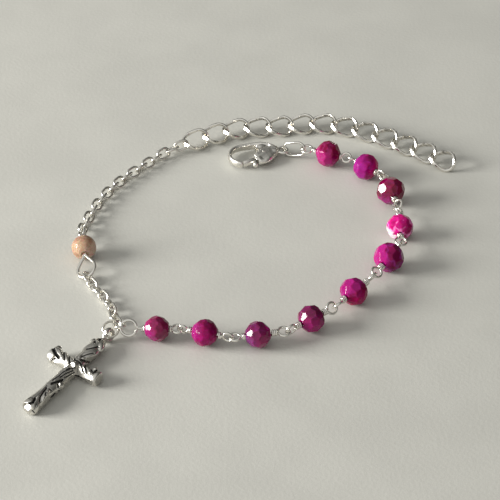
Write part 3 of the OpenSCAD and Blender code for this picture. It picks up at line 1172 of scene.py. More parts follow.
@dataclass(frozen=True)
class AntiqueFinish:
    """Cast metal with black in its recesses and worn bright heights."""

    name: str
    bright: Colour = (226, 223, 216)
    grey: Colour = (200, 197, 190)
    black: Colour = (20, 19, 18)
    roughness: float = 0.22

    def build(self) -> bpy.types.Material:
        """Builds the material.

        Returns:
            The material.
        """
        made, n, shader = new_material(self.name)
        spot = n.add("TexCoord").outputs["Object"]
        wear = use_group(n, Shared.POLISH, spot, Scale=420.0, Tarnish=0.5)
        depth = n.add("Attribute", attribute_name="recess").outputs["Fac"]
        ragged = n.math("ADD", depth, n.math("MULTIPLY_ADD", wear["Smudge"], 0.5, -0.25))
        worn = n.mix(n.ramp(ragged, -0.15, 0.15), paint(self.bright), paint(self.grey))
        worn = n.mix(n.times(wear["Tarnish"], 0.5), worn, paint(self.grey))
        dark = n.ramp(ragged, 0.22, 0.50)
        n.feed(shader.inputs["Base Color"], n.mix(dark, worn, paint(self.black)))
        rough = n.ramp(wear["Smudge"], 0.3, 0.8, self.roughness * 0.8, self.roughness * 1.6)
        n.feed(shader.inputs["Roughness"], n.math("MULTIPLY_ADD", dark, 0.45, rough))
        n.feed(shader.inputs["Normal"], n.bump(wear["Height"], 0.16, 0.0001))
        n.feed(shader.inputs["Metallic"], n.ramp(dark, 0.2, 1.0, 1.0, 0.25))
        return made


# pale mauve on the window's side of beads one and two: painted reflection of the bright room
REFLECTED_MAUVE = (155, 38, 123)
# each tone: colour, angle from the right as seen, where it starts, softness and amount; paler mauve tones
# on the window's side are painted reflection of the room, darker tones on the far side are painted shade,
# and the rest are the stones' own patches
STONES = (
    StoneFinish(
        "stone_01", (152, 5, 83), (116, 3, 65), (150, 42, 104),
        (Tone(REFLECTED_MAUVE, 215, 0.45, 0.35, 0.6), Tone((108, 2, 54), 20, 0.45, 0.3, 0.7)),
        vein_amount=0.25, vein_width=0.05, grain=0.3, roughness=0.05, shine=0.36, coat=0.2,
    ),
    StoneFinish(
        "stone_02", (159, 6, 99), (125, 3, 70), (149, 40, 117),
        (Tone(REFLECTED_MAUVE, 170, 0.45, 0.35, 0.6), Tone((107, 2, 56), 60, 0.42, 0.15, 0.8)),
        vein_amount=0.25, vein_width=0.05, grain=0.35, roughness=0.14,
    ),
    StoneFinish(
        "stone_03", (114, 2, 74), (86, 1, 56), (123, 34, 115),
        (Tone((128, 33, 119), 230, 0.55, 0.3, 0.7), Tone((154, 2, 93), -30, 0.3, 0.4, 0.7)),
        vein_amount=0.35, vein_width=0.05, grain=0.3, roughness=0.05, shine=0.34, coat=0.15,
    ),
    StoneFinish(
        "stone_04", (128, 2, 77), (96, 1, 58), (146, 29, 129),
        (Tone((159, 6, 106), 280, 0.3, 0.35, 0.8), Tone((85, 1, 58), 110, 0.5, 0.3, 0.6)),
        vein_amount=0.2, vein_width=0.04, grain=0.15, roughness=0.05, shine=0.34, coat=0.15,
    ),
    StoneFinish(
        "stone_05", (138, 3, 74), (114, 2, 60), (161, 38, 129),
        (Tone((153, 22, 113), 128, 0.0, 0.14, 0.8), Tone((169, 4, 81), -60, 0.4, 0.3, 0.7)),
        vein_amount=0.3, vein_width=0.05, grain=0.15, roughness=0.08,
    ),
    StoneFinish(
        "stone_06", (141, 4, 81), (111, 2, 64), (154, 52, 148),
        (Tone((176, 25, 128), 190, 0.12, 0.16, 0.75), Tone((103, 2, 56), -20, 0.25, 0.3, 0.8)),
        vein_amount=0.5, vein_width=0.05, grain=0.2, roughness=0.10,
    ),
    StoneFinish(
        "stone_07", (212, 23, 135), (171, 12, 103), (253, 162, 221),
        (Tone((139, 8, 77), -15, 0.40, 0.25, 0.85), Tone((240, 222, 232), 228, 0.66, 0.10, 1.0)),
        vein_amount=0.60, vein_width=0.05, grain=0.1, roughness=0.10,
    ),
    StoneFinish(
        "stone_08", (135, 1, 58), (101, 1, 43), (147, 24, 112),
        (Tone((151, 22, 117), 258, 0.5, 0.22, 0.75), Tone((122, 1, 53), 20, 0.3, 0.4, 0.6)),
        vein_amount=0.25, vein_width=0.05, grain=0.15, roughness=0.04, shine=0.36, coat=0.2,
    ),
    StoneFinish(
        "stone_09", (155, 5, 102), (122, 3, 76), (166, 39, 150),
        (Tone((145, 23, 121), 175, 0.2, 0.35, 0.75), Tone((194, 5, 107), 0, 0.35, 0.3, 0.7)),
        vein_amount=0.45, vein_width=0.07, grain=0.15, roughness=0.09,
    ),
    StoneFinish(
        "stone_10", (140, 2, 68), (111, 1, 50), (182, 56, 135),
        (Tone((168, 33, 116), 238, 0.15, 0.28, 0.8), Tone((119, 1, 47), 70, 0.45, 0.2, 0.7)),
        vein_amount=0.35, vein_width=0.06, grain=0.1, roughness=0.09,
    ),
)
PEACH = StoneFinish(
    "peach_stone", (190, 158, 130), (164, 128, 102), (206, 182, 156),
    (Tone((214, 188, 170), -40, 0.35, 0.4, 0.7), Tone((150, 112, 96), 100, 0.55, 0.3, 0.5)),
    vein_amount=0.35, vein_width=0.08, grain=0.55, roughness=0.10, glow=0.5,
)

# stone beads


@dataclass
class StoneBeads:
    """Ten cut stone beads, each with rows of facets and a drilled hole."""

    facets: int = 9
    # tilt of the middle and of the outer row of facets, for each bead
    rows: tuple[tuple[float, float], ...] = (
        (17, 40), (17, 47), (17, 47), (19, 56), (19, 55),
        (19, 55), (19, 55), (21, 50), (19, 55), (19, 55),
    )
    # share of the half width at which each row cuts
    row_share: tuple[float, float] = (0.935, 0.975)
    # beads with a facet that flashes
    flash: tuple[int, ...] = (0, 2, 3, 7)
    # width of the worn edges, for each bead
    soft: tuple[float, ...] = (0.16, 0.24, 0.14, 0.09, 0.14, 0.10, 0.14, 0.07, 0.26, 0.14)
    mouth: float = 0.9

    def normals(self, i: int) -> list[tuple[Vector, float]]:
        """Outward directions and distances of one bead's facets, about X.

        Args:
            i: the bead.

        Returns:
            Pairs of unit normal and distance from the middle.
        """
        rng = random.Random(40 + i)
        step = TAU / self.facets
        found = []
        for row, lat in enumerate(self.rows[i]):
            for k in range(self.facets):
                for side in (1, -1):
                    b = math.radians(lat + rng.uniform(-1.6, 1.6))
                    a = (k + 0.5 * row) * step + math.radians(rng.uniform(-2.2, 2.2))
                    out = Vector((-math.sin(b), -math.sin(a) * math.cos(b), math.cos(a) * math.cos(b)))
                    egg = math.hypot(math.cos(b), LAYOUT.length_share * math.sin(b))
                    reach = LAYOUT.width(i) / 2 * self.row_share[row] * egg * rng.uniform(0.985, 1.003)
                    found.append((side * out, reach))
        return found

    def roll(self, i: int, facets: Sequence[tuple[Vector, float]]) -> float:
        """Turn of a bead about its hole, so that its facets catch the window as seen.

        Args:
            i: the bead.
            facets: its facets.

        Returns:
            The roll in degrees.
        """
        best, chosen = -9.0, 0.0
        for step in range(0, 360, 3):
            turn = placed((0, 0, 0), step, 0, BEADS[i][1]).to_3x3()
            near = max((turn @ out).dot(WINDOW_GLINT) for out, _ in facets)
            score = near if i in self.flash else -near
            if score > best + 1e-4:
                best, chosen = score, float(step)
        LOG.info("bead %d: nearest facet to the window %.4f", i + 1, abs(best))
        return chosen

    def cut(self, i: int) -> bpy.types.Object:
        """Cuts one bead from a block, facet by facet.

        Args:
            i: the bead.

        Returns:
            The settled bead.
        """
        width, half = LAYOUT.width(i), LAYOUT.half(i)
        facets = self.normals(i)
        ends = [(Vector((side, 0, 0)), half) for side in (1, -1)]
        deselect()
        bpy.ops.mesh.primitive_cube_add(size=width * 1.4)
        bead = bpy.context.object
        bpy.ops.object.mode_set(mode="EDIT")
        for out, reach in facets + ends:
            bpy.ops.mesh.select_all(action="SELECT")
            bpy.ops.mesh.bisect(plane_co=out * reach, plane_no=out, use_fill=True, clear_outer=True)
        bpy.ops.mesh.select_all(action="SELECT")
        bpy.ops.mesh.remove_doubles(threshold=0.01)
        bpy.ops.mesh.normals_make_consistent(inside=False)
        bpy.ops.object.mode_set(mode="OBJECT")
        round_edges(bead, self.soft[i], 3, 6)
        cut_away(bead, bore_tool(half, self.mouth, LAYOUT.bead_hole, (0.3, 0.18), 24))
        smooth(bead, 28)
        apply_modifier(bead, "WEIGHTED_NORMAL", weight=90, keep_sharp=True)
        roll = self.roll(i, facets)
        return settle(bead, placed(LAYOUT.bead(i), roll, 0, BEADS[i][1]), MM)

    def build(self) -> None:
        """Builds, dresses and hands over the ten beads."""
        for i in range(len(BEADS)):
            bead = self.cut(i)
            bead.name = bead.data.name = f"stone_bead_{i + 1:02d}"
            centre = (LAYOUT.bead(i) + SHIFT) * MM
            finish = STONES[i].build(centre, LAYOUT.width(i) / 2 * MM, i + 1.0)
            hand_over(bead, finish, "magenta_stone", BODY, f"bead_{i + 1:02d}")


@dataclass
class PeachBead:
    """The smooth peach bead with countersunk holes."""

    sink: float = 1.25

    def build(self) -> None:
        """Builds, dresses and hands over the bead."""
        radius = LAYOUT.peach_width / 2
        deselect()
        bpy.ops.mesh.primitive_uv_sphere_add(segments=64, ring_count=40, radius=radius)
        bead = settle(bpy.context.object, Matrix.Rotation(math.pi / 2, 4, "Y"))
        cut_away(bead, bore_tool(LAYOUT.peach_half(), self.sink, LAYOUT.bead_hole, (0.35, 0.30), 32))
        round_edges(bead, 0.05, 2, 35)
        smooth(bead, 50)
        settle(bead, placed(LAYOUT.peach(), 0, 0, LAYOUT.peach_heading), MM)
        bead.name = bead.data.name = "smooth_peach_bead"
        finish = PEACH.build((LAYOUT.peach() + SHIFT) * MM, radius * MM, 14.0)
        hand_over(bead, finish, "peach_stone", BODY, "peach_bead")


# eye pins


@dataclass
class EyePins:
    """Wrapped wire through each bead: an eye and a coil at both ends."""

    eye_points: int = 26
    turn_points: int = 14
    # degrees left open between the neck and the eye's start
    gap: float = 16.0
    # wire that reaches into the bead, and the coil's distance from its end
    tail: float = 0.9
    seat: float = 0.03
    # in wire radii: the coil's radius, the rise of the eye's end over its start,
    # and how far the coil's two ends keep back
    wrap: float = 1.9
    rise: float = 0.95
    coil_front: float = 0.9
    coil_trim: float = 1.4
    # the first bead's open eye: wire thickness, first angle and sweep, length of wire
    # that stops short of the eye, and how far its free end curls back and aside
    hook_gauge: float = 1.16
    hook_arc: tuple[float, float] = (190.0, 338.0)
    hook_short: float = 0.25
    hook_curl: tuple[float, float] = (0.1, 0.12)
    hook_seat: float = 0.05
    # distance of the pear-shaped eye's legs from the middle, and points of its bow
    pear_spread: float = 0.16
    pear_points: int = 34

    def end(self, start: float, turns: int, neck: float, radius: float, roll: float) -> bpy.types.Object:
        """Bends one end of a pin along +X: shaft, eye, then the coil wrapped back.

        Args:
            start: where the coil meets the bead.
            turns: turns of the coil.
            neck: straight wire between the coil and the eye.
            radius: radius of the eye.
            roll: turn of the eye about the shaft.

        Returns:
            The bent wire.
        """
        r = LAYOUT.pin / 2
        coil_end = start + turns * LAYOUT.coil_pitch()
        middle = coil_end + neck + radius
        turn = Matrix.Rotation(math.radians(roll), 3, "X")
        line = [Vector((start - self.tail, 0, 0)), Vector((coil_end - 0.1, 0, 0))]
        loop = arc(radius, 180 + self.gap, 360 - 1.6 * self.gap, self.eye_points)
        for k, p in enumerate(loop):
            lift = r * self.rise * (k / (len(loop) - 1)) ** 3
            line.append(turn @ Vector((middle + p.x, p.y, p.z + lift)))
        wrap = r * self.wrap
        last = line[-1]
        first = math.atan2(last.z, last.y)
        count = turns * self.turn_points
        for k in range(count + 1):
            a = first + TAU * k / self.turn_points
            back = (turns * LAYOUT.coil_pitch() - r * self.coil_trim) * k / count
            x = coil_end - r * self.coil_front - back
            line.append(Vector((x, wrap * math.cos(a), wrap * math.sin(a))))
        return wire(line, r)

    def hook_end(self, start: float, neck: float, radius: float, roll: float) -> bpy.types.Object:
        """Bends the first bead's large open eye, whose free end curls back.

        Args:
            start: where the coil meets the bead.
            neck: straight wire up to the eye.
            radius: radius of the eye.
            roll: turn of the eye about the shaft.

        Returns:
            The bent wire.
        """
        r = LAYOUT.pin / 2
        coil_end = start + LAYOUT.coil_pitch()
        middle = coil_end + neck + radius
        turn = Matrix.Rotation(math.radians(roll), 3, "X")
        line = [Vector((start - self.tail, 0, 0)), Vector((middle - radius - self.hook_short, 0, 0))]
        loop = arc(radius, *self.hook_arc, self.eye_points + 6)
        line += [turn @ (p + Vector((middle, 0, 0))) for p in loop]
        last = line[-1] - turn @ Vector((middle - radius, 0, 0))
        back, aside = self.hook_curl
        line.append(turn @ Vector((middle - radius - back, aside, 0)) + last * 0.1)
        wrap = r * self.wrap
        coil = []
        for k in range(self.turn_points + 1):
            a = k * TAU / self.turn_points
            x = start + self.hook_seat + LAYOUT.coil_pitch() * k / self.turn_points
            coil.append(Vector((x, wrap * math.cos(a), wrap * math.sin(a))))
        return join([wire(line, r * self.hook_gauge), wire(coil, r)], "eye")

    def build(self) -> None:
        """Builds, dresses and hands over the ten pins."""
        finish = SilverFinish("wrapped_wire", roughness=0.13, scale=700.0).build()
        for i in range(len(BEADS)):
            ends = []
            for side in (1, 0):
                start = LAYOUT.half(i) + self.seat
                turns = BEADS[i][2 + 3 * side]
                neck = LAYOUT.end_neck(i, side) - self.seat
                roll = BEADS[i][4 + 3 * side] * (1 if side else -1)
                if i == 0 and side == 0:
                    made = self.hook_end(start, neck, LAYOUT.eye(i, side), roll)
                else:
                    made = self.end(start, turns, neck, LAYOUT.eye(i, side), roll)
                if side == 0:
                    settle(made, Matrix.Rotation(math.pi, 4, "Z"))
                ends.append(made)
            shaft = wire([(-LAYOUT.half(i), 0, 0), (LAYOUT.half(i), 0, 0)], LAYOUT.pin / 2 * 0.96)
            pin = join([*ends, shaft], f"wrapped_pin_{i + 1:02d}")
            settle(pin, placed(LAYOUT.bead(i), 0, 0, BEADS[i][1]), MM)
            hand_over(pin, finish, "pin_wire", BODY, f"eye_pin_{i + 1:02d}")
        self.pear(finish)

    def pear(self, finish: bpy.types.Material) -> None:
        """Builds the peach bead's pin: a small eye and the pear-shaped eye.

        Args:
            finish: the wire's material.
        """
        half = LAYOUT.peach_half()
        neck = LAYOUT.neck - self.seat
        small = self.end(half + self.seat, 1, neck, LAYOUT.small_eye, LAYOUT.small_eye_roll)
        settle(small, Matrix.Rotation(math.pi, 4, "Z"))
        r = LAYOUT.pear_wire / 2
        lean = math.asin(LAYOUT.pear_radius / LAYOUT.pear_reach)
        side = math.sqrt(LAYOUT.pear_reach**2 - LAYOUT.pear_radius**2)
        upper = []
        for share in (0.85, 0.5, 0.15):
            y = side * share * math.sin(lean) + self.pear_spread * (1 - share)
            upper.append(Vector((side * share * math.cos(lean), y, 0)))
        upper += [Vector((-0.15, self.pear_spread, 0)), Vector((-self.tail, 0.10, 0))]
        lower = [Vector((p.x, -p.y, 0)) for p in reversed(upper)]
        degrees = math.degrees(lean)
        bow = arc(LAYOUT.pear_radius, -90 - degrees, 180 + 2 * degrees, self.pear_points)
        middle = Vector((LAYOUT.pear_reach, 0, 0))
        pear = wire([*lower, *(p + middle for p in bow), *upper], r)
        tilt = (
            Matrix.Translation((half + r, 0, 0))
            @ Matrix.Rotation(math.radians(-LAYOUT.pear_slope), 4, "Y")
            @ Matrix.Rotation(math.radians(LAYOUT.pear_roll), 4, "X")
        )
        settle(pear, tilt)
        pin = join([pear, small], "pear_pin")
        settle(pin, placed(LAYOUT.peach(), 0, 0, LAYOUT.peach_heading), MM)
        hand_over(pin, finish, "pin_wire", BODY, "pear_eye_pin")


# chains


@dataclass
class Chains:
    """Both fine chains, the junction link, the jump ring and the extension chain."""

    # wire thickness over the solids', and height over thickness of the extension's wire
    fine_swell: float = 1.18
    curb_swell: float = 1.05
    curb_tall: float = 1.50
    # how much longer and wider the junction link is than a fine link
    join_longer: float = 0.05
    join_wider: float = 0.08
    # first angle and sweep of the open jump ring
    ring_arc: tuple[float, float] = (70.0, 353.0)
    # depth of the two cut facets of an extension link, the second one's direction,
    # and the link's distance from the surface
    glint_depth: float = 0.16
    front_depth: float = 0.14
    floor_gap: float = 0.02
    front: Vector = field(default_factory=lambda: Vector((-0.50, -0.60, 0.625)))

    def fine_link(self) -> bpy.types.Object:
        """Models one fine link."""
        wide = LAYOUT.fine_wire * self.fine_swell
        return oval_link((LAYOUT.fine_pitch + wide + LAYOUT.play) / 2, LAYOUT.fine_half_width, wide)

    def lay(self, pattern: bpy.types.Object, places: Sequence[Matrix], name: str) -> bpy.types.Object:
        """Copies a link to every place of a chain.

        Args:
            pattern: the link, which is deleted.
            places: the placing matrices.
            name: name of the chain.

        Returns:
            The chain.
        """
        links = [settle(twin(pattern), place, MM) for place in places]
        bpy.data.objects.remove(pattern)
        return join(links, name)

    def fine(self) -> None:
        """Builds the two fine chains and the junction link."""
        finish = SilverFinish("fine_chain_silver", roughness=0.12, scale=800.0, tarnish=0.25).build()
        for name, start, turn, rise, roll, count, odd in (
            ("long", LAYOUT.long_start(), LONG_ROUTE, LONG_SLOPE, LONG_ROLL, LAYOUT.fine_long, 90),
            ("short", LAYOUT.short_start(), SHORT_ROUTE, SHORT_SLOPE, SHORT_ROLL, LAYOUT.fine_short, 91),
        ):
            places = [
                placed(
                    LAYOUT.link(start, turn, rise, LAYOUT.fine_pitch, i),
                    lookup(i, roll) + odd * (i % 2), lookup(i, rise), lookup(i, turn),
                )
                for i in range(count)
            ]
            chain = self.lay(self.fine_link(), places, f"rolo_chain_{name}")
            hand_over(chain, finish, "fine_chain_wire", BODY, f"fine_chain_{name}")
        half = LAYOUT.fine_pitch / 2 + LAYOUT.fine_wire / 2 + LAYOUT.play / 2 + self.join_longer
        link = oval_link(half, LAYOUT.fine_half_width + self.join_wider, LAYOUT.fine_wire)
        settle(link, placed(*JOIN_POSE), MM)
        link.name = "oval_junction_link"
        hand_over(link, finish, "ring_wire", BODY, "junction_link")

    def rings(self) -> None:
        """Builds the open jump ring of the cross and the clasp's long link."""
        dim = SilverFinish(
            "ring_silver", bright=(214, 210, 200), roughness=0.15, scale=600.0, tarnish=0.6
        ).build()
        ring = wire(arc(LAYOUT.ring_radius, *self.ring_arc, 54), LAYOUT.ring_wire / 2)
        settle(ring, placed(*RING_POSE), MM)
        ring.name = "cross_ring"
        hand_over(ring, dim, "ring_wire", BODY, "cross_jump_ring")
        bright = SilverFinish("clasp_link_silver", roughness=0.12, scale=600.0, tarnish=0.2).build()
        link = oval_link(LAYOUT.clasp_link_half, LAYOUT.clasp_link_half_width, LAYOUT.pin, 36)
        settle(link, LAYOUT.clasp_link(), MM)
        link.name = "long_clasp_link"
        hand_over(link, bright, "pin_wire", BODY, "clasp_link")

    def extension(self) -> None:
        """Builds the thirteen flattened and twisted links of the extension chain."""
        finish = SilverFinish("extension_silver", roughness=0.13, scale=420.0, tarnish=0.3).build()
        wide = LAYOUT.curb_wire * self.curb_swell
        pattern = oval_link((LAYOUT.curb_pitch + wide + LAYOUT.play) / 2, LAYOUT.curb_half_width, wide, 48)
        pick(pattern)
        pattern.scale = (1, 1, self.curb_tall)
        bpy.ops.object.transform_apply(location=False, rotation=False, scale=True)
        apply_modifier(pattern, "SIMPLE_DEFORM", deform_method="TWIST", deform_axis="X",
                       angle=math.radians(LAYOUT.curb_twist))
        smooth(pattern, 24)
        start = LAYOUT.curb_start()
        for i in range(LAYOUT.curb_count):
            at = LAYOUT.link(start, CURB_ROUTE, CURB_SLOPE, LAYOUT.curb_pitch, i)
            place = placed(at, lookup(i, CURB_ROLL), lookup(i, CURB_SLOPE), lookup(i, CURB_ROUTE))
            link = settle(twin(pattern), place, MM)
            for cut, depth in ((WINDOW_GLINT, self.glint_depth), (self.front, self.front_depth)):
                press(link, cut, max(cut.dot(v.co) for v in link.data.vertices) - depth * MM)
            press(link, Vector((0, 0, -1)), -self.floor_gap * MM)
            for axis, out in enumerate((Vector((1, 0, 0)), Vector((0, 1, 0)))):
                press(link, out, CAD_BOX[1][axis])
            link.name = link.data.name = f"twisted_link_{i + 1:02d}"
            hand_over(link, finish, "extension_wire", BODY, f"curb_link_{i + 1:02d}")
        bpy.data.objects.remove(pattern)


# clasp


# sections of the clasp's casting and lever: x, y, heading, half width and half height
CLASP_BODY = (
    (0.95, 0, 0, 0.40, 0.50), (1.35, 0.05, 2, 0.78, 0.74), (2.1, 0.15, 4, 1.45, 0.96),
    (2.9, 0.30, 7, 1.95, 1.06), (3.7, 0.55, 11, 2.20, 1.08), (4.4, 0.95, 16, 2.05, 1.02),
    (5.0, 1.45, 22, 1.65, 0.94), (5.5, 1.90, 27, 1.15, 0.84), (5.85, 2.15, 30, 0.70, 0.66),
    (6.0, 2.25, 30, 0.35, 0.40),
)
CLASP_RIDGE = (
    (1.25, -0.20, -30, 0.15, 0.12), (1.70, -0.42, -18, 0.32, 0.30), (2.4, -0.52, 6, 0.40, 0.42),
    (3.2, -0.30, 24, 0.44, 0.47), (4.0, 0.14, 34, 0.46, 0.47), (4.8, 0.70, 35, 0.46, 0.44),
    (5.45, 1.15, 34, 0.42, 0.38), (5.9, 1.45, 33, 0.28, 0.24),
)
CLASP_BACK = (
    (1.05, -0.55, -52, 0.50, 0.62), (1.75, -1.35, -46, 0.56, 0.74), (2.7, -2.15, -30, 0.56, 0.82),
    (3.8, -2.62, -12, 0.50, 0.82), (5.0, -2.82, -3, 0.44, 0.78), (6.3, -2.86, 0, 0.38, 0.74),
)
LEVER_BAR = (
    (3.45, 0.30, 34, 0.30, 0.30), (3.9, 0.60, 33, 0.48, 0.42), (4.6, 1.02, 31, 0.50, 0.46),
    (5.4, 1.47, 28, 0.46, 0.48), (6.2, 1.84, 22, 0.46, 0.60), (6.8, 2.04, 15, 0.46, 0.72),
    (7.5, 2.20, 8, 0.46, 0.72), (8.15, 2.28, 6, 0.44, 0.66), (8.38, 2.31, 6, 0.36, 0.54),
)
LEVER_TAB = (
    (5.75, 1.42, 74, 0.40, 0.40), (5.90, 2.00, 74, 0.38, 0.42), (6.05, 2.50, 74, 0.38, 0.46),
    (6.16, 2.90, 74, 0.46, 0.52), (6.25, 3.20, 74, 0.50, 0.54), (6.32, 3.42, 74, 0.42, 0.46),
    (6.36, 3.55, 74, 0.20, 0.24),
)
# straight parts of the lever's slot: middle, heading, length and width
CLASP_SLOTS = (((5.75, 0.42, 0), 26, 3.6, 2.5), ((6.1, 2.75, 0), 74, 3.2, 1.15))
# shallow hollows in the casting's faces
CLASP_HOLLOWS = (
    Mark(((2.2, 0.75), (3.3, 1.35), (4.5, 2.1)), 0, 0.85, 0.26),
    Mark(((2.6, -1.55), (3.4, -1.45), (4.3, -1.25)), 0, 0.70, 0.26),
)


@dataclass
class Clasp:
    """Lobster clasp: a cast body, a sprung lever with a tab, and the hinge pin."""

    # the lever's pivot, then the hook's middle along X, its radius and its tip's angle
    pivot: tuple[float, float, float] = (3.9, 0.6, 0)
    hook_middle: float = 7.5
    hook_radius: float = 2.70
    tip_angle: float = 57.0
    hook_steps: int = 16
    # degrees that the band runs on past the tip's angle, and how far it lies outside
    tip_past: float = 11.0
    band_out: float = 0.12
    # half width and half height of the hook's band, and how its last sections close
    band: tuple[float, float] = (0.40, 0.74)
    closing: tuple[float, ...] = (1.0, 1.0, 0.97, 0.80)
    ridge_height: float = 0.74
    web_at: tuple[float, float, float] = (3.75, -1.45, 0)
    web_size: tuple[float, float, float] = (1.35, 1.05, 0.84)
    voxel: float = 0.085
    slot_height: float = 1.14
    well_radius: float = 0.88
    knuckle_radius: float = 0.72
    knuckle_height: float = 0.90
    bore_radius: float = 0.35
    pin_radius: float = 0.30

    def casting(self) -> list[bpy.types.Object]:
        """Lofts the teardrop body and the band that runs round the hook.

        Returns:
            The forms that are fused into the casting.
        """
        body = loft_rows(CLASP_BODY, sides=32)
        web = ball(self.web_at, self.web_size)
        ridge = loft_rows(CLASP_RIDGE, self.ridge_height)
        rows = list(CLASP_BACK)
        reach = self.hook_radius + self.band_out
        wide, tall = self.band
        for k in range(self.hook_steps + 1):
            a = math.radians(-90 + k * (90 + self.tip_angle + self.tip_past) / self.hook_steps)
            cap = self.closing[max(k + len(self.closing) - 1 - self.hook_steps, 0)]
            x, y = self.hook_middle + reach * math.cos(a), reach * math.sin(a)
            rows.append((x, y, math.degrees(a) + 90, wide * cap, tall * cap))
        hook = loft_rows(rows, sides=24)
        round_edges(hook, 0.26, 3)
        deselect()
        bpy.ops.mesh.primitive_torus_add(
            major_radius=LAYOUT.clasp_eye_radius, minor_radius=LAYOUT.clasp_eye_wire / 2,
            major_segments=40, minor_segments=14,
        )
        return [body, web, ridge, hook, bpy.context.object]

    def body(self) -> bpy.types.Object:
        """Fuses the casting, hollows both its faces and cuts the lever's slot.

        Returns:
            The body in its own space.
        """
        form = join(self.casting(), "casting")
        apply_modifier(form, "REMESH", mode="VOXEL", voxel_size=self.voxel)
        apply_modifier(form, "SMOOTH", factor=0.5, iterations=6)
        points, normals = arrays(form)
        top = np.clip(normals[:, 2] * np.sign(points[:, 2]) * 2.0, 0, 1)
        plan = np.eye(3)[:2]
        seen = points @ plan.T
        lift = np.zeros(len(points))
        for hollow in CLASP_HOLLOWS:
            lift -= hollow.deep * hollow.share(seen, plan)
        points += normals * (lift * top)[:, None]
        form.data.vertices.foreach_set("co", points.ravel())
        form.data.update()
        cut_away(form, cylinder(self.well_radius, self.slot_height, self.pivot, 32))
        for at, turn, long, wide in CLASP_SLOTS:
            deselect()
            bpy.ops.mesh.primitive_cube_add(size=1)
            size = Matrix.Diagonal((long, wide, self.slot_height, 1))
            place = Matrix.Translation(at) @ Matrix.Rotation(math.radians(turn), 4, "Z") @ size
            cut_away(form, settle(bpy.context.object, place))
        return smooth(form, 40)

    def lever(self) -> bpy.types.Object:
        """Lofts the lever from its tab past the hinge to its tip.

        Returns:
            The lever in its own space.
        """
        bar = loft_rows(LEVER_BAR)
        tab = loft_rows(LEVER_TAB)
        knuckle = cylinder(self.knuckle_radius, self.knuckle_height, self.pivot, 40)
        round_edges(knuckle, 0.08, 2)
        cut_away(bar, knuckle, "UNION")
        cut_away(bar, tab, "UNION")
        cut_away(bar, cylinder(self.bore_radius, 3, self.pivot, 40))
        return smooth(bar, 45)

    def build(self) -> None:
        """Builds, dresses and hands over the clasp's three pieces."""
        finish = SilverFinish("clasp_silver", roughness=0.20, scale=300.0, tarnish=0.3, dent=0.08).build()
        place = LAYOUT.clasp()
        body = settle(self.body(), place, MM)
        body.name = body.data.name = "clasp_casting"
        hand_over(body, finish, "clasp_metal", BODY, "clasp_body")
        lever = settle(self.lever(), place, MM)
        lever.name = lever.data.name = "sprung_lever"
        hand_over(lever, finish, "lever_metal", LEVER, "clasp_lever")
        pin = cylinder(self.pin_radius, LAYOUT.clasp_thickness - 0.04, self.pivot, 32)
        round_edges(pin, 0.06, 3)
        smooth(settle(pin, place, MM), 40)
        pin.name = pin.data.name = "hinge_rivet"
        hand_over(pin, finish, "clasp_metal", BODY, "clasp_pin")


# cross


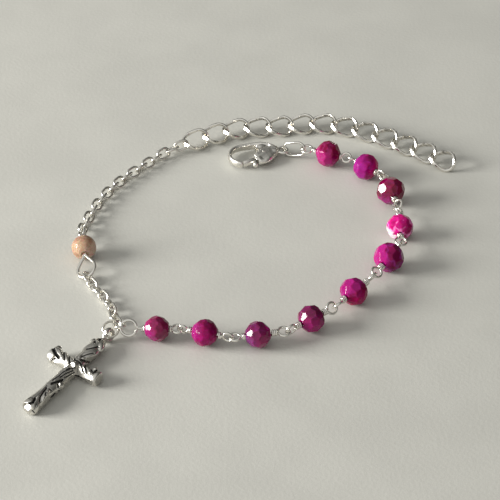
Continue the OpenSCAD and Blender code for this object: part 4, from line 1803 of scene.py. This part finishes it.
# black grooves, dents and veins of the bark: points, height, width, depth and blackness
CUTS = (
    Mark(((0.29, -0.24), (0.86, -0.38), (1.58, -0.37)), 0.38, 0.30, 0.30),
    Mark(((2.8, -1.69), (2.26, -1.85), (1.85, -1.64), (1.82, -1.19)), 0.28, 0.14, 0.10, 0.8),
    Mark(((2.62, -0.46),), 0.68, 0.34, 0.40),
    Mark(((1.95, 1.32), (2.44, 1.75), (3.05, 2.06), (3.75, 2.47)), 0.78, 0.20, 0.22),
    Mark(((5.29, -0.17), (4.82, 0.2), (4.34, 0.59), (3.75, 1.05)), 1.08, 0.17, 0.20),
    Mark(((7.44, 0.31), (6.85, 0.46), (6.28, 0.75), (5.54, 1.36)), 1.13, 0.14, 0.14, 0.9),
    Mark(((7.83, 0.57), (7.88, 1.3), (7.8, 1.99)), 0.98, 0.27, 0.40),
    Mark(((7.06, -5.56), (6.84, -5.16), (6.96, -4.39), (7.24, -3.69)), 0.58, 0.14, 0.08, 0.7),
    Mark(((7.45, -3.69), (7.93, -2.97), (8.49, -2.38), (9.31, -1.76)), 0.98, 0.22, 0.24),
    Mark(((7.78, -2.13), (8.51, -1.39), (9.54, -0.49)), 1.08, 0.22, 0.24),
    Mark(((7.78, -1.52), (8.12, -0.88), (8.36, -0.27)), 1.08, 0.20, 0.20),
    Mark(((7.93, -5.02), (8.52, -4.25), (9.15, -3.22)), 0.68, 0.40, 0.62),
    Mark(((9.59, -4.29), (9.24, -4.09), (8.88, -3.96)), -0.12, 0.16, 0.12, 0.8),
    Mark(((9.8, -3.49), (10.03, -3.02)), -0.42, 0.24, 0.16, 0.6),
    Mark(((8.77, -0.07), (8.62, 0.48), (8.86, 1.13), (9.4, 1.74)), 1.28, 0.16, 0.16, 0.9),
    Mark(((11.05, 0.08), (10.66, 0.34), (10.39, 0.89), (9.9, 0.98)), 1.08, 0.15, 0.14, 0.7),
    Mark(((9.02, 1.49), (9.5, 1.99), (10.1, 2.49)), 1.08, 0.20, 0.22),
    Mark(((8.82, 2.02), (9.33, 2.74), (10.1, 3.48)), 1.03, 0.22, 0.24),
    Mark(((8.25, 2.65), (8.77, 3.48), (9.02, 4.1)), 0.78, 0.24, 0.30),
    Mark(((7.89, 4.68), (8.22, 4.18), (9.02, 4.1)), 0.78, 0.27, 0.32),
    Mark(((8.46, 3.34), (7.76, 3.37), (7.44, 4.06), (7.71, 4.87)), 0.88, 0.13, 0.06, 0.7),
    Mark(((10.26, 1.26), (10.29, 2.22), (10.41, 3.44)), -0.32, 0.22, 0.10, 0.8),
    Mark(((10.75, 0.4), (11.7, 0.02), (13.11, -0.01), (14.31, -0.21)), 0.98, 0.17, 0.15, 0.9),
    Mark(((10.81, 1.06), (11.81, 0.67), (13.16, 0.41)), 1.03, 0.16, 0.15, 0.9),
    Mark(((10.92, 1.47), (11.98, 1.17), (12.75, 0.92)), 0.88, 0.15, 0.13, 0.8),
    Mark(((15.03, 0.14), (14.36, 0.59), (13.46, 1.05)), 0.98, 0.28, 0.36),
    Mark(((13.97, 0.68), (14.59, 0.95), (15.15, 1.49)), 0.78, 0.17, 0.22),
    Mark(((15.06, 1.44), (14.47, 1.92), (13.79, 1.76)), -0.02, 0.20, 0.14, 0.7),
    Mark(((16.39, 0.13), (17.58, 0.32), (18.57, 0.58), (19.69, 1.24)), 1.03, 0.18, 0.20),
    Mark(((17.33, 0.78), (17.99, 1.08)), 1.08, 0.17, 0.18),
    Mark(((16.28, 0.59), (16.46, 1.11)), 0.88, 0.17, 0.14, 0.7),
    Mark(((15.17, -0.71), (16.79, -0.56), (18.05, -0.49), (18.85, -0.52)), 0.28, 0.13, 0.06, 0.6),
    Mark(((19.17, -0.01), (20.14, 0.28), (20.59, -0.02)), 0.78, 0.30, 0.42),
    Mark(((19.71, -1.02), (19.29, -0.89), (19.04, -0.53)), 0.58, 0.15, 0.08, 0.7),
    Mark(((21.53, 1.08), (21.79, 1.66)), 0.38, 0.20, 0.20, 0.8),
    Mark(((19.65, 0.81), (20.7, 1.17), (21.36, 1.33)), 0.58, 0.14, 0.08, 0.5),
    Mark(((15.82, 1.28), (16.84, 1.33)), -0.12, 0.30, 0.12, 0.6),
)
# raised strands of the bark
STRANDS = (
    Mark(((7.6, 0.0), (6.9, -0.10), (6.0, -0.05), (5.1, 0.40), (4.5, 0.95)), 1.10, 0.22, 0.12),
    Mark(((7.4, 0.75), (6.6, 1.15), (5.6, 1.75)), 1.00, 0.45, 0.16),
    Mark(((7.70, -2.85), (8.5, -2.0), (9.5, -1.15)), 1.05, 0.30, 0.10),
    Mark(((7.4, -4.4), (8.2, -3.4), (9.2, -2.5)), 0.90, 0.35, 0.10),
    Mark(((8.95, 1.80), (9.45, 2.40), (10.1, 3.0)), 1.05, 0.25, 0.10),
    Mark(((8.6, 2.5), (9.2, 3.2), (9.9, 3.9)), 0.95, 0.30, 0.10),
    Mark(((10.9, 0.75), (11.8, 0.35), (13.1, 0.20), (14.2, 0.10)), 1.05, 0.20, 0.10),
    Mark(((16.6, 0.75), (17.5, 0.95), (18.5, 1.25), (19.3, 1.6)), 0.95, 0.36, 0.14),
    Mark(((16.2, -0.15), (17.4, -0.05), (18.6, 0.15)), 0.95, 0.32, 0.12),
    Mark(((14.21, 1.12), (14.9, 1.66)), 0.88, 0.26, 0.16),
)


# sections of the stem: share of its length, side step, and width in half widths
STEM = (
    (0.050, 0.00, 0.45), (0.085, -0.02, 0.80), (0.13, 0.00, 0.96), (0.19, 0.05, 1.00),
    (0.26, 0.08, 0.96), (0.33, 0.0, 0.94), (0.40, 0.0, 1.00), (0.47, 0.0, 1.02),
    (0.54, 0.03, 0.94), (0.62, 0.08, 0.92), (0.70, 0.10, 1.00), (0.78, 0.10, 0.95),
    (0.86, 0.10, 1.02), (0.93, 0.08, 1.12), (0.975, 0.06, 1.16), (0.997, 0.04, 1.00),
)
# sections of the arms: share of the arm, then width and height in half widths of the stem
LEFT_ARM = (
    (0, 0.88, 0.96), (0.25, 0.92, 0.96), (0.45, 1.00, 0.96), (0.62, 1.08, 0.98),
    (0.78, 1.16, 1.00), (0.90, 1.22, 0.98), (0.97, 1.16, 0.90), (1.0, 0.96, 0.74),
)
RIGHT_ARM = (
    (0, 0.84, 0.94), (0.25, 0.86, 0.92), (0.45, 0.86, 0.92), (0.62, 0.90, 0.94),
    (0.78, 1.00, 0.98), (0.90, 1.10, 1.00), (0.97, 1.08, 0.96), (1.0, 0.92, 0.80),
)
# start along the stem, heading and sections of each arm
ARMS = ((9.0, -97, LEFT_ARM), (9.25, 89.5, RIGHT_ARM))
# place and radius of the neck under the bail
NECK = ((0.75, 0.40), (1.10, 0.58), (1.6, 0.80))
# leaves, lips, knot and stub: middle, half lengths and turn
LOBES = (
    # bud and the leaf beside the bail, then the large leaf
    (2.55, -0.98, 0.30, 0.66, 0.60, 0.58, 0), (2.90, 0.85, 0.35, 1.25, 0.70, 0.72, 28),
    (5.95, 0.62, 0.45, 2.00, 0.78, 0.80, -22), (4.10, -0.45, 0.55, 1.60, 0.55, 0.55, -16),
    # knot over the crossing
    (9.50, 0.38, 0.72, 0.78, 0.72, 0.78, 0), (8.90, -0.10, 0.50, 1.00, 0.80, 0.80, 20),
    # lips of the left arm's open end
    (7.25, -4.75, 0.42, 0.52, 0.66, 0.52, 20), (9.55, -4.25, -0.10, 0.66, 0.62, 0.74, 0),
    (8.25, -5.05, 0.10, 0.72, 0.42, 0.66, 0),
    # ball and funnel of the right arm's end
    (8.40, 3.95, 0.84, 0.48, 0.48, 0.46, 0), (9.35, 4.75, 0.20, 0.78, 0.62, 0.92, 0),
    (8.55, 4.95, 0.35, 0.52, 0.44, 0.66, 0),
    # lower stem, the stub and its lip
    (12.10, 0.30, 0.65, 1.80, 0.62, 0.55, -10), (14.25, 1.10, 0.32, 0.62, 0.72, 0.72, 24),
    (14.95, 1.10, 0.18, 0.50, 0.52, 0.56, 0),
    (17.60, 0.62, 0.42, 1.90, 0.70, 0.76, 14), (15.70, -0.15, 0.62, 1.30, 0.62, 0.56, 10),
    # lobes of the foot
    (20.35, -0.72, 0.42, 0.56, 0.52, 0.56, 0), (20.95, 0.10, -0.10, 0.52, 0.62, 0.76, 0),
    (20.40, 1.10, 0.10, 0.72, 0.48, 0.82, 0),
)
# direction, and middle and reach of each worn bright flat
CROSS_GLINT = Vector((0.795, -0.251, 0.553)).normalized()
FLATS = (
    (Vector((9.86, -2.1, 0.55)), 1.9), (Vector((9.98, 3.0, 0.55)), 2.2),
    (Vector((21.10, -0.1, 0.20)), 0.9), (Vector((9.95, 0.5, 0.95)), 0.8),
)


@dataclass
class TwigCross:
    """Cast cross of bound twigs with a flat back, hollow cut ends and a bail."""

    # half width of the stem, and the mesh size at which the forms are fused
    stem: float = 1.25
    voxel: float = 0.08
    # turns of the bail about Y and X, its middle, its wire's radius and its flat's depth
    bail_turn: tuple[float, float] = (30.0, -80.0)
    bail_at: tuple[float, float, float] = (-0.3, 0, 0.12)
    bail_gauge: float = 0.44
    bail_flat: float = 0.26

    def flat_view(self) -> np.ndarray:
        """Takes the cross's own space to the picture's plane.

        Returns:
            A row for right and one for up.
        """
        h, e = math.radians(LAYOUT.cross_heading), math.radians(CAMERA_ELEVATION)
        right = (math.cos(h), -math.sin(h), 0)
        up = (math.sin(h) * math.sin(e), math.cos(h) * math.sin(e), math.cos(e))
        return np.array((right, up))

    def bark(self) -> list[bpy.types.Object]:
        """Lofts the stem and the arms, and lays leaves, lips, knot and stub on them.

        Returns:
            The forms that are fused into the cross.
        """
        r = self.stem
        stem = [
            Station((LAYOUT.cross_length * x, y * r, 0), 0, w * r, w * r * 0.98) for x, y, w in STEM
        ]
        parts = [loft(stem, 24)]
        for start, turn, rows in ARMS:
            out, span = direction(turn), LAYOUT.cross_span
            parts.append(loft([
                Station((start + out.x * t * span / 2, out.y * t * span / 2, 0), turn, w * r, h * r)
                for t, w, h in rows
            ], 24))
        for row in LOBES:
            parts.append(ball(row[:3], row[3:6], row[6]))
        tilt, roll = (math.radians(turn) for turn in self.bail_turn)
        hang = Matrix.Rotation(tilt, 3, "Y") @ Matrix.Rotation(roll, 3, "X")
        middle = Vector(self.bail_at)
        loop = [hang @ p + middle for p in arc(LAYOUT.bail_radius, 0, 350, 36)]
        bail = wire(loop, self.bail_gauge, True)
        neck = loft_rows([(x, 0, 0, w, w) for x, w in NECK], sides=16)
        return [*parts, bail, neck]

    def facing(self, points: np.ndarray, normals: np.ndarray) -> np.ndarray:
        """Finds what faces up and lies above the back.

        Args:
            points: the form's points.
            normals: their normals.

        Returns:
            A share from 0 to 1 for each point.
        """
        upward = np.clip((normals[:, 2] + 0.45) / 0.5, 0, 1)
        return upward * np.clip((points[:, 2] + 1.0) / 0.5, 0, 1)

    def carve(self, obj: bpy.types.Object) -> None:
        """Presses the flats, raises the strands and carves the grooves.

        Args:
            obj: the fused form in its own space.
        """
        mesh = obj.data
        points, normals = arrays(obj)
        glint = np.array(CROSS_GLINT)
        for at, reach in FLATS:
            offset = points - np.array(at)
            near = np.linalg.norm(offset, axis=1) < reach
            points -= np.where(near, np.maximum(offset @ glint, 0), 0)[:, None] * glint
        bail = points[:, 0] < NECK[0][0]
        over = points @ glint - (points[bail] @ glint).max() + self.bail_flat
        points -= (np.maximum(over, 0) * bail)[:, None] * glint
        flat = self.flat_view()
        facing = self.facing(points, normals) * np.clip(points[:, 0] - 0.9, 0, 1)
        away = normals + np.array((0, 0, 0.6))
        away /= np.linalg.norm(away, axis=1)[:, None]
        seen = points @ flat.T
        push = np.zeros(len(points))
        for mark in STRANDS:
            push = np.maximum(push, mark.deep * mark.share(seen, flat))
        for mark in CUTS:
            push -= mark.deep * mark.share(seen, flat)
        points += away * (np.clip(push, -0.7, 0.2) * facing)[:, None]
        mesh.vertices.foreach_set("co", points.ravel())
        mesh.update()

    def ink(self, obj: bpy.types.Object) -> None:
        """Adds the blackened marks to the attribute recess.

        Args:
            obj: the carved form with that attribute.
        """
        points, normals = arrays(obj)
        flat = self.flat_view()
        seen = points @ flat.T
        facing = self.facing(points, normals)
        layer = obj.data.attributes["recess"]
        dark = np.empty(len(points), np.float32)
        layer.data.foreach_get("value", dark)
        for mark in CUTS:
            stain = mark.ink * np.clip(1.35 * mark.share(seen, flat) - 0.15, 0, 1)
            stain *= facing
            dark = np.maximum(dark, stain.astype(np.float32))
        dark *= np.clip(points[:, 0] - 0.7, 0, 1).astype(np.float32)
        layer.data.foreach_set("value", dark)

    def form(self) -> bpy.types.Object:
        """Fuses the bark and the bail, carves them and cuts the flat back.

        Returns:
            The cross in its own space.
        """
        cross = join(self.bark(), "twig_cross")
        apply_modifier(cross, "REMESH", mode="VOXEL", voxel_size=self.voxel)
        apply_modifier(cross, "SMOOTH", factor=0.5, iterations=4)
        self.carve(cross)
        apply_modifier(cross, "REMESH", mode="VOXEL", voxel_size=self.voxel * 0.9)
        apply_modifier(cross, "SMOOTH", factor=0.5, iterations=2)
        pick(cross)
        bpy.ops.object.mode_set(mode="EDIT")
        bpy.ops.mesh.select_all(action="SELECT")
        back = (0, 0, -LAYOUT.cross_back)
        bpy.ops.mesh.bisect(plane_co=back, plane_no=(0, 0, -1), use_fill=True, clear_outer=True)
        bpy.ops.mesh.select_all(action="SELECT")
        bpy.ops.mesh.normals_make_consistent(inside=False)
        bpy.ops.object.mode_set(mode="OBJECT")
        hollows(cross, 30, 0.20)
        self.ink(cross)
        return smooth(cross, 60)

    def build(self) -> None:
        """Builds, dresses and hands over the cross."""
        cross = settle(self.form(), LAYOUT.cross(), MM)
        cross.name = cross.data.name = "twig_cross"
        hand_over(cross, AntiqueFinish("antique_silver").build(), "cross_metal", BODY, "cross")


# studio


@dataclass
class Studio:
    """Pale surface, low soft window light from the left, and the camera."""

    target: Vector = field(default_factory=lambda: SHIFT * MM)
    distance: float = 0.355
    lens: float = 143.14
    floor_colour: Colour = (199, 198, 191)
    window_at: tuple[float, float, float] = (-0.75, -0.10, 0.27)
    window_size: tuple[float, float] = (0.36, 0.32)
    window_power: float = 10.8
    window_tint: Colour = (1.0, 0.99, 0.955)
    # direction of the room's bright side, and its linear colours away from it and towards it
    room_side: tuple[float, float, float] = (-0.74, -0.50, 0.45)
    room_dim: Colour = (0.17, 0.17, 0.155)
    room_bright: Colour = (1.50, 1.50, 1.46)
    room_strength: float = 0.48

    def floor(self) -> None:
        """Lays the pale surface."""
        deselect()
        bpy.ops.mesh.primitive_plane_add(size=4, location=(0, 0, 0))
        floor = bpy.context.object
        floor.name = "pale_surface"
        made, n, shader = new_material("pale_board")
        spot = n.add("TexCoord").outputs["Object"]
        cloud = n.noise(spot, 60.0, 4.0)
        pale, shade = paint(self.floor_colour), paint([c * 0.97 for c in self.floor_colour])
        n.feed(shader.inputs["Base Color"], n.mix(n.ramp(cloud, 0.3, 0.7), pale, shade))
        n.feed(shader.inputs["Normal"], n.bump(n.noise(spot, 1500.0, 3.0), 0.28, 0.0001))
        shader.inputs["Roughness"].default_value = 0.55
        floor.data.materials.append(made)

    def window(self) -> None:
        """Hangs the window's light, facing the bracelet."""
        deselect()
        bpy.ops.object.light_add(type="AREA", location=self.window_at)
        lamp = bpy.context.object
        lamp.name = "window"
        lamp.data.shape = "RECTANGLE"
        lamp.data.size, lamp.data.size_y = self.window_size
        lamp.data.energy = self.window_power
        lamp.data.color = self.window_tint
        lamp.rotation_euler = (-Vector(self.window_at)).to_track_quat("-Z", "Y").to_euler()

    def room(self) -> None:
        """Lights the surroundings, brighter on the window's side."""
        world = bpy.data.worlds.new("pale_room")
        bpy.context.scene.world = world
        world.use_nodes = True
        n = Nodes(world.node_tree)
        back = next(x for x in world.node_tree.nodes if x.type == "BACKGROUND")
        way = n.add("TexCoord").outputs["Generated"]
        side = n.ramp(n.dot(way, self.room_side), -0.60, 1.0)
        n.feed(back.inputs["Color"], n.mix(side, (*self.room_dim, 1), (*self.room_bright, 1)))
        back.inputs["Strength"].default_value = self.room_strength

    def build(self) -> None:
        """Builds the floor, the light, the surroundings and the camera."""
        self.floor()
        self.window()
        self.room()
        bpy.context.scene.view_settings.view_transform = "Standard"
        deselect()
        e = math.radians(CAMERA_ELEVATION)
        place = self.target + self.distance * Vector((0, -math.cos(e), math.sin(e)))
        bpy.ops.object.camera_add(location=place)
        camera = bpy.context.object
        camera.rotation_euler = (self.target - place).to_track_quat("-Z", "Y").to_euler()
        camera.data.lens = self.lens
        camera.data.sensor_width = 36
        camera.data.clip_start, camera.data.clip_end = 0.01, 20
        bpy.context.scene.camera = camera


def main() -> None:
    """Builds every sub-assembly in order."""
    logging.basicConfig(level=logging.INFO, format="%(name)s: %(message)s")
    build_polish()
    build_mottle()
    Studio().build()
    StoneBeads().build()
    PeachBead().build()
    EyePins().build()
    chains = Chains()
    chains.fine()
    chains.rings()
    chains.extension()
    Clasp().build()
    TwigCross().build()
    deselect()


if __name__ == "__main__":
    main()
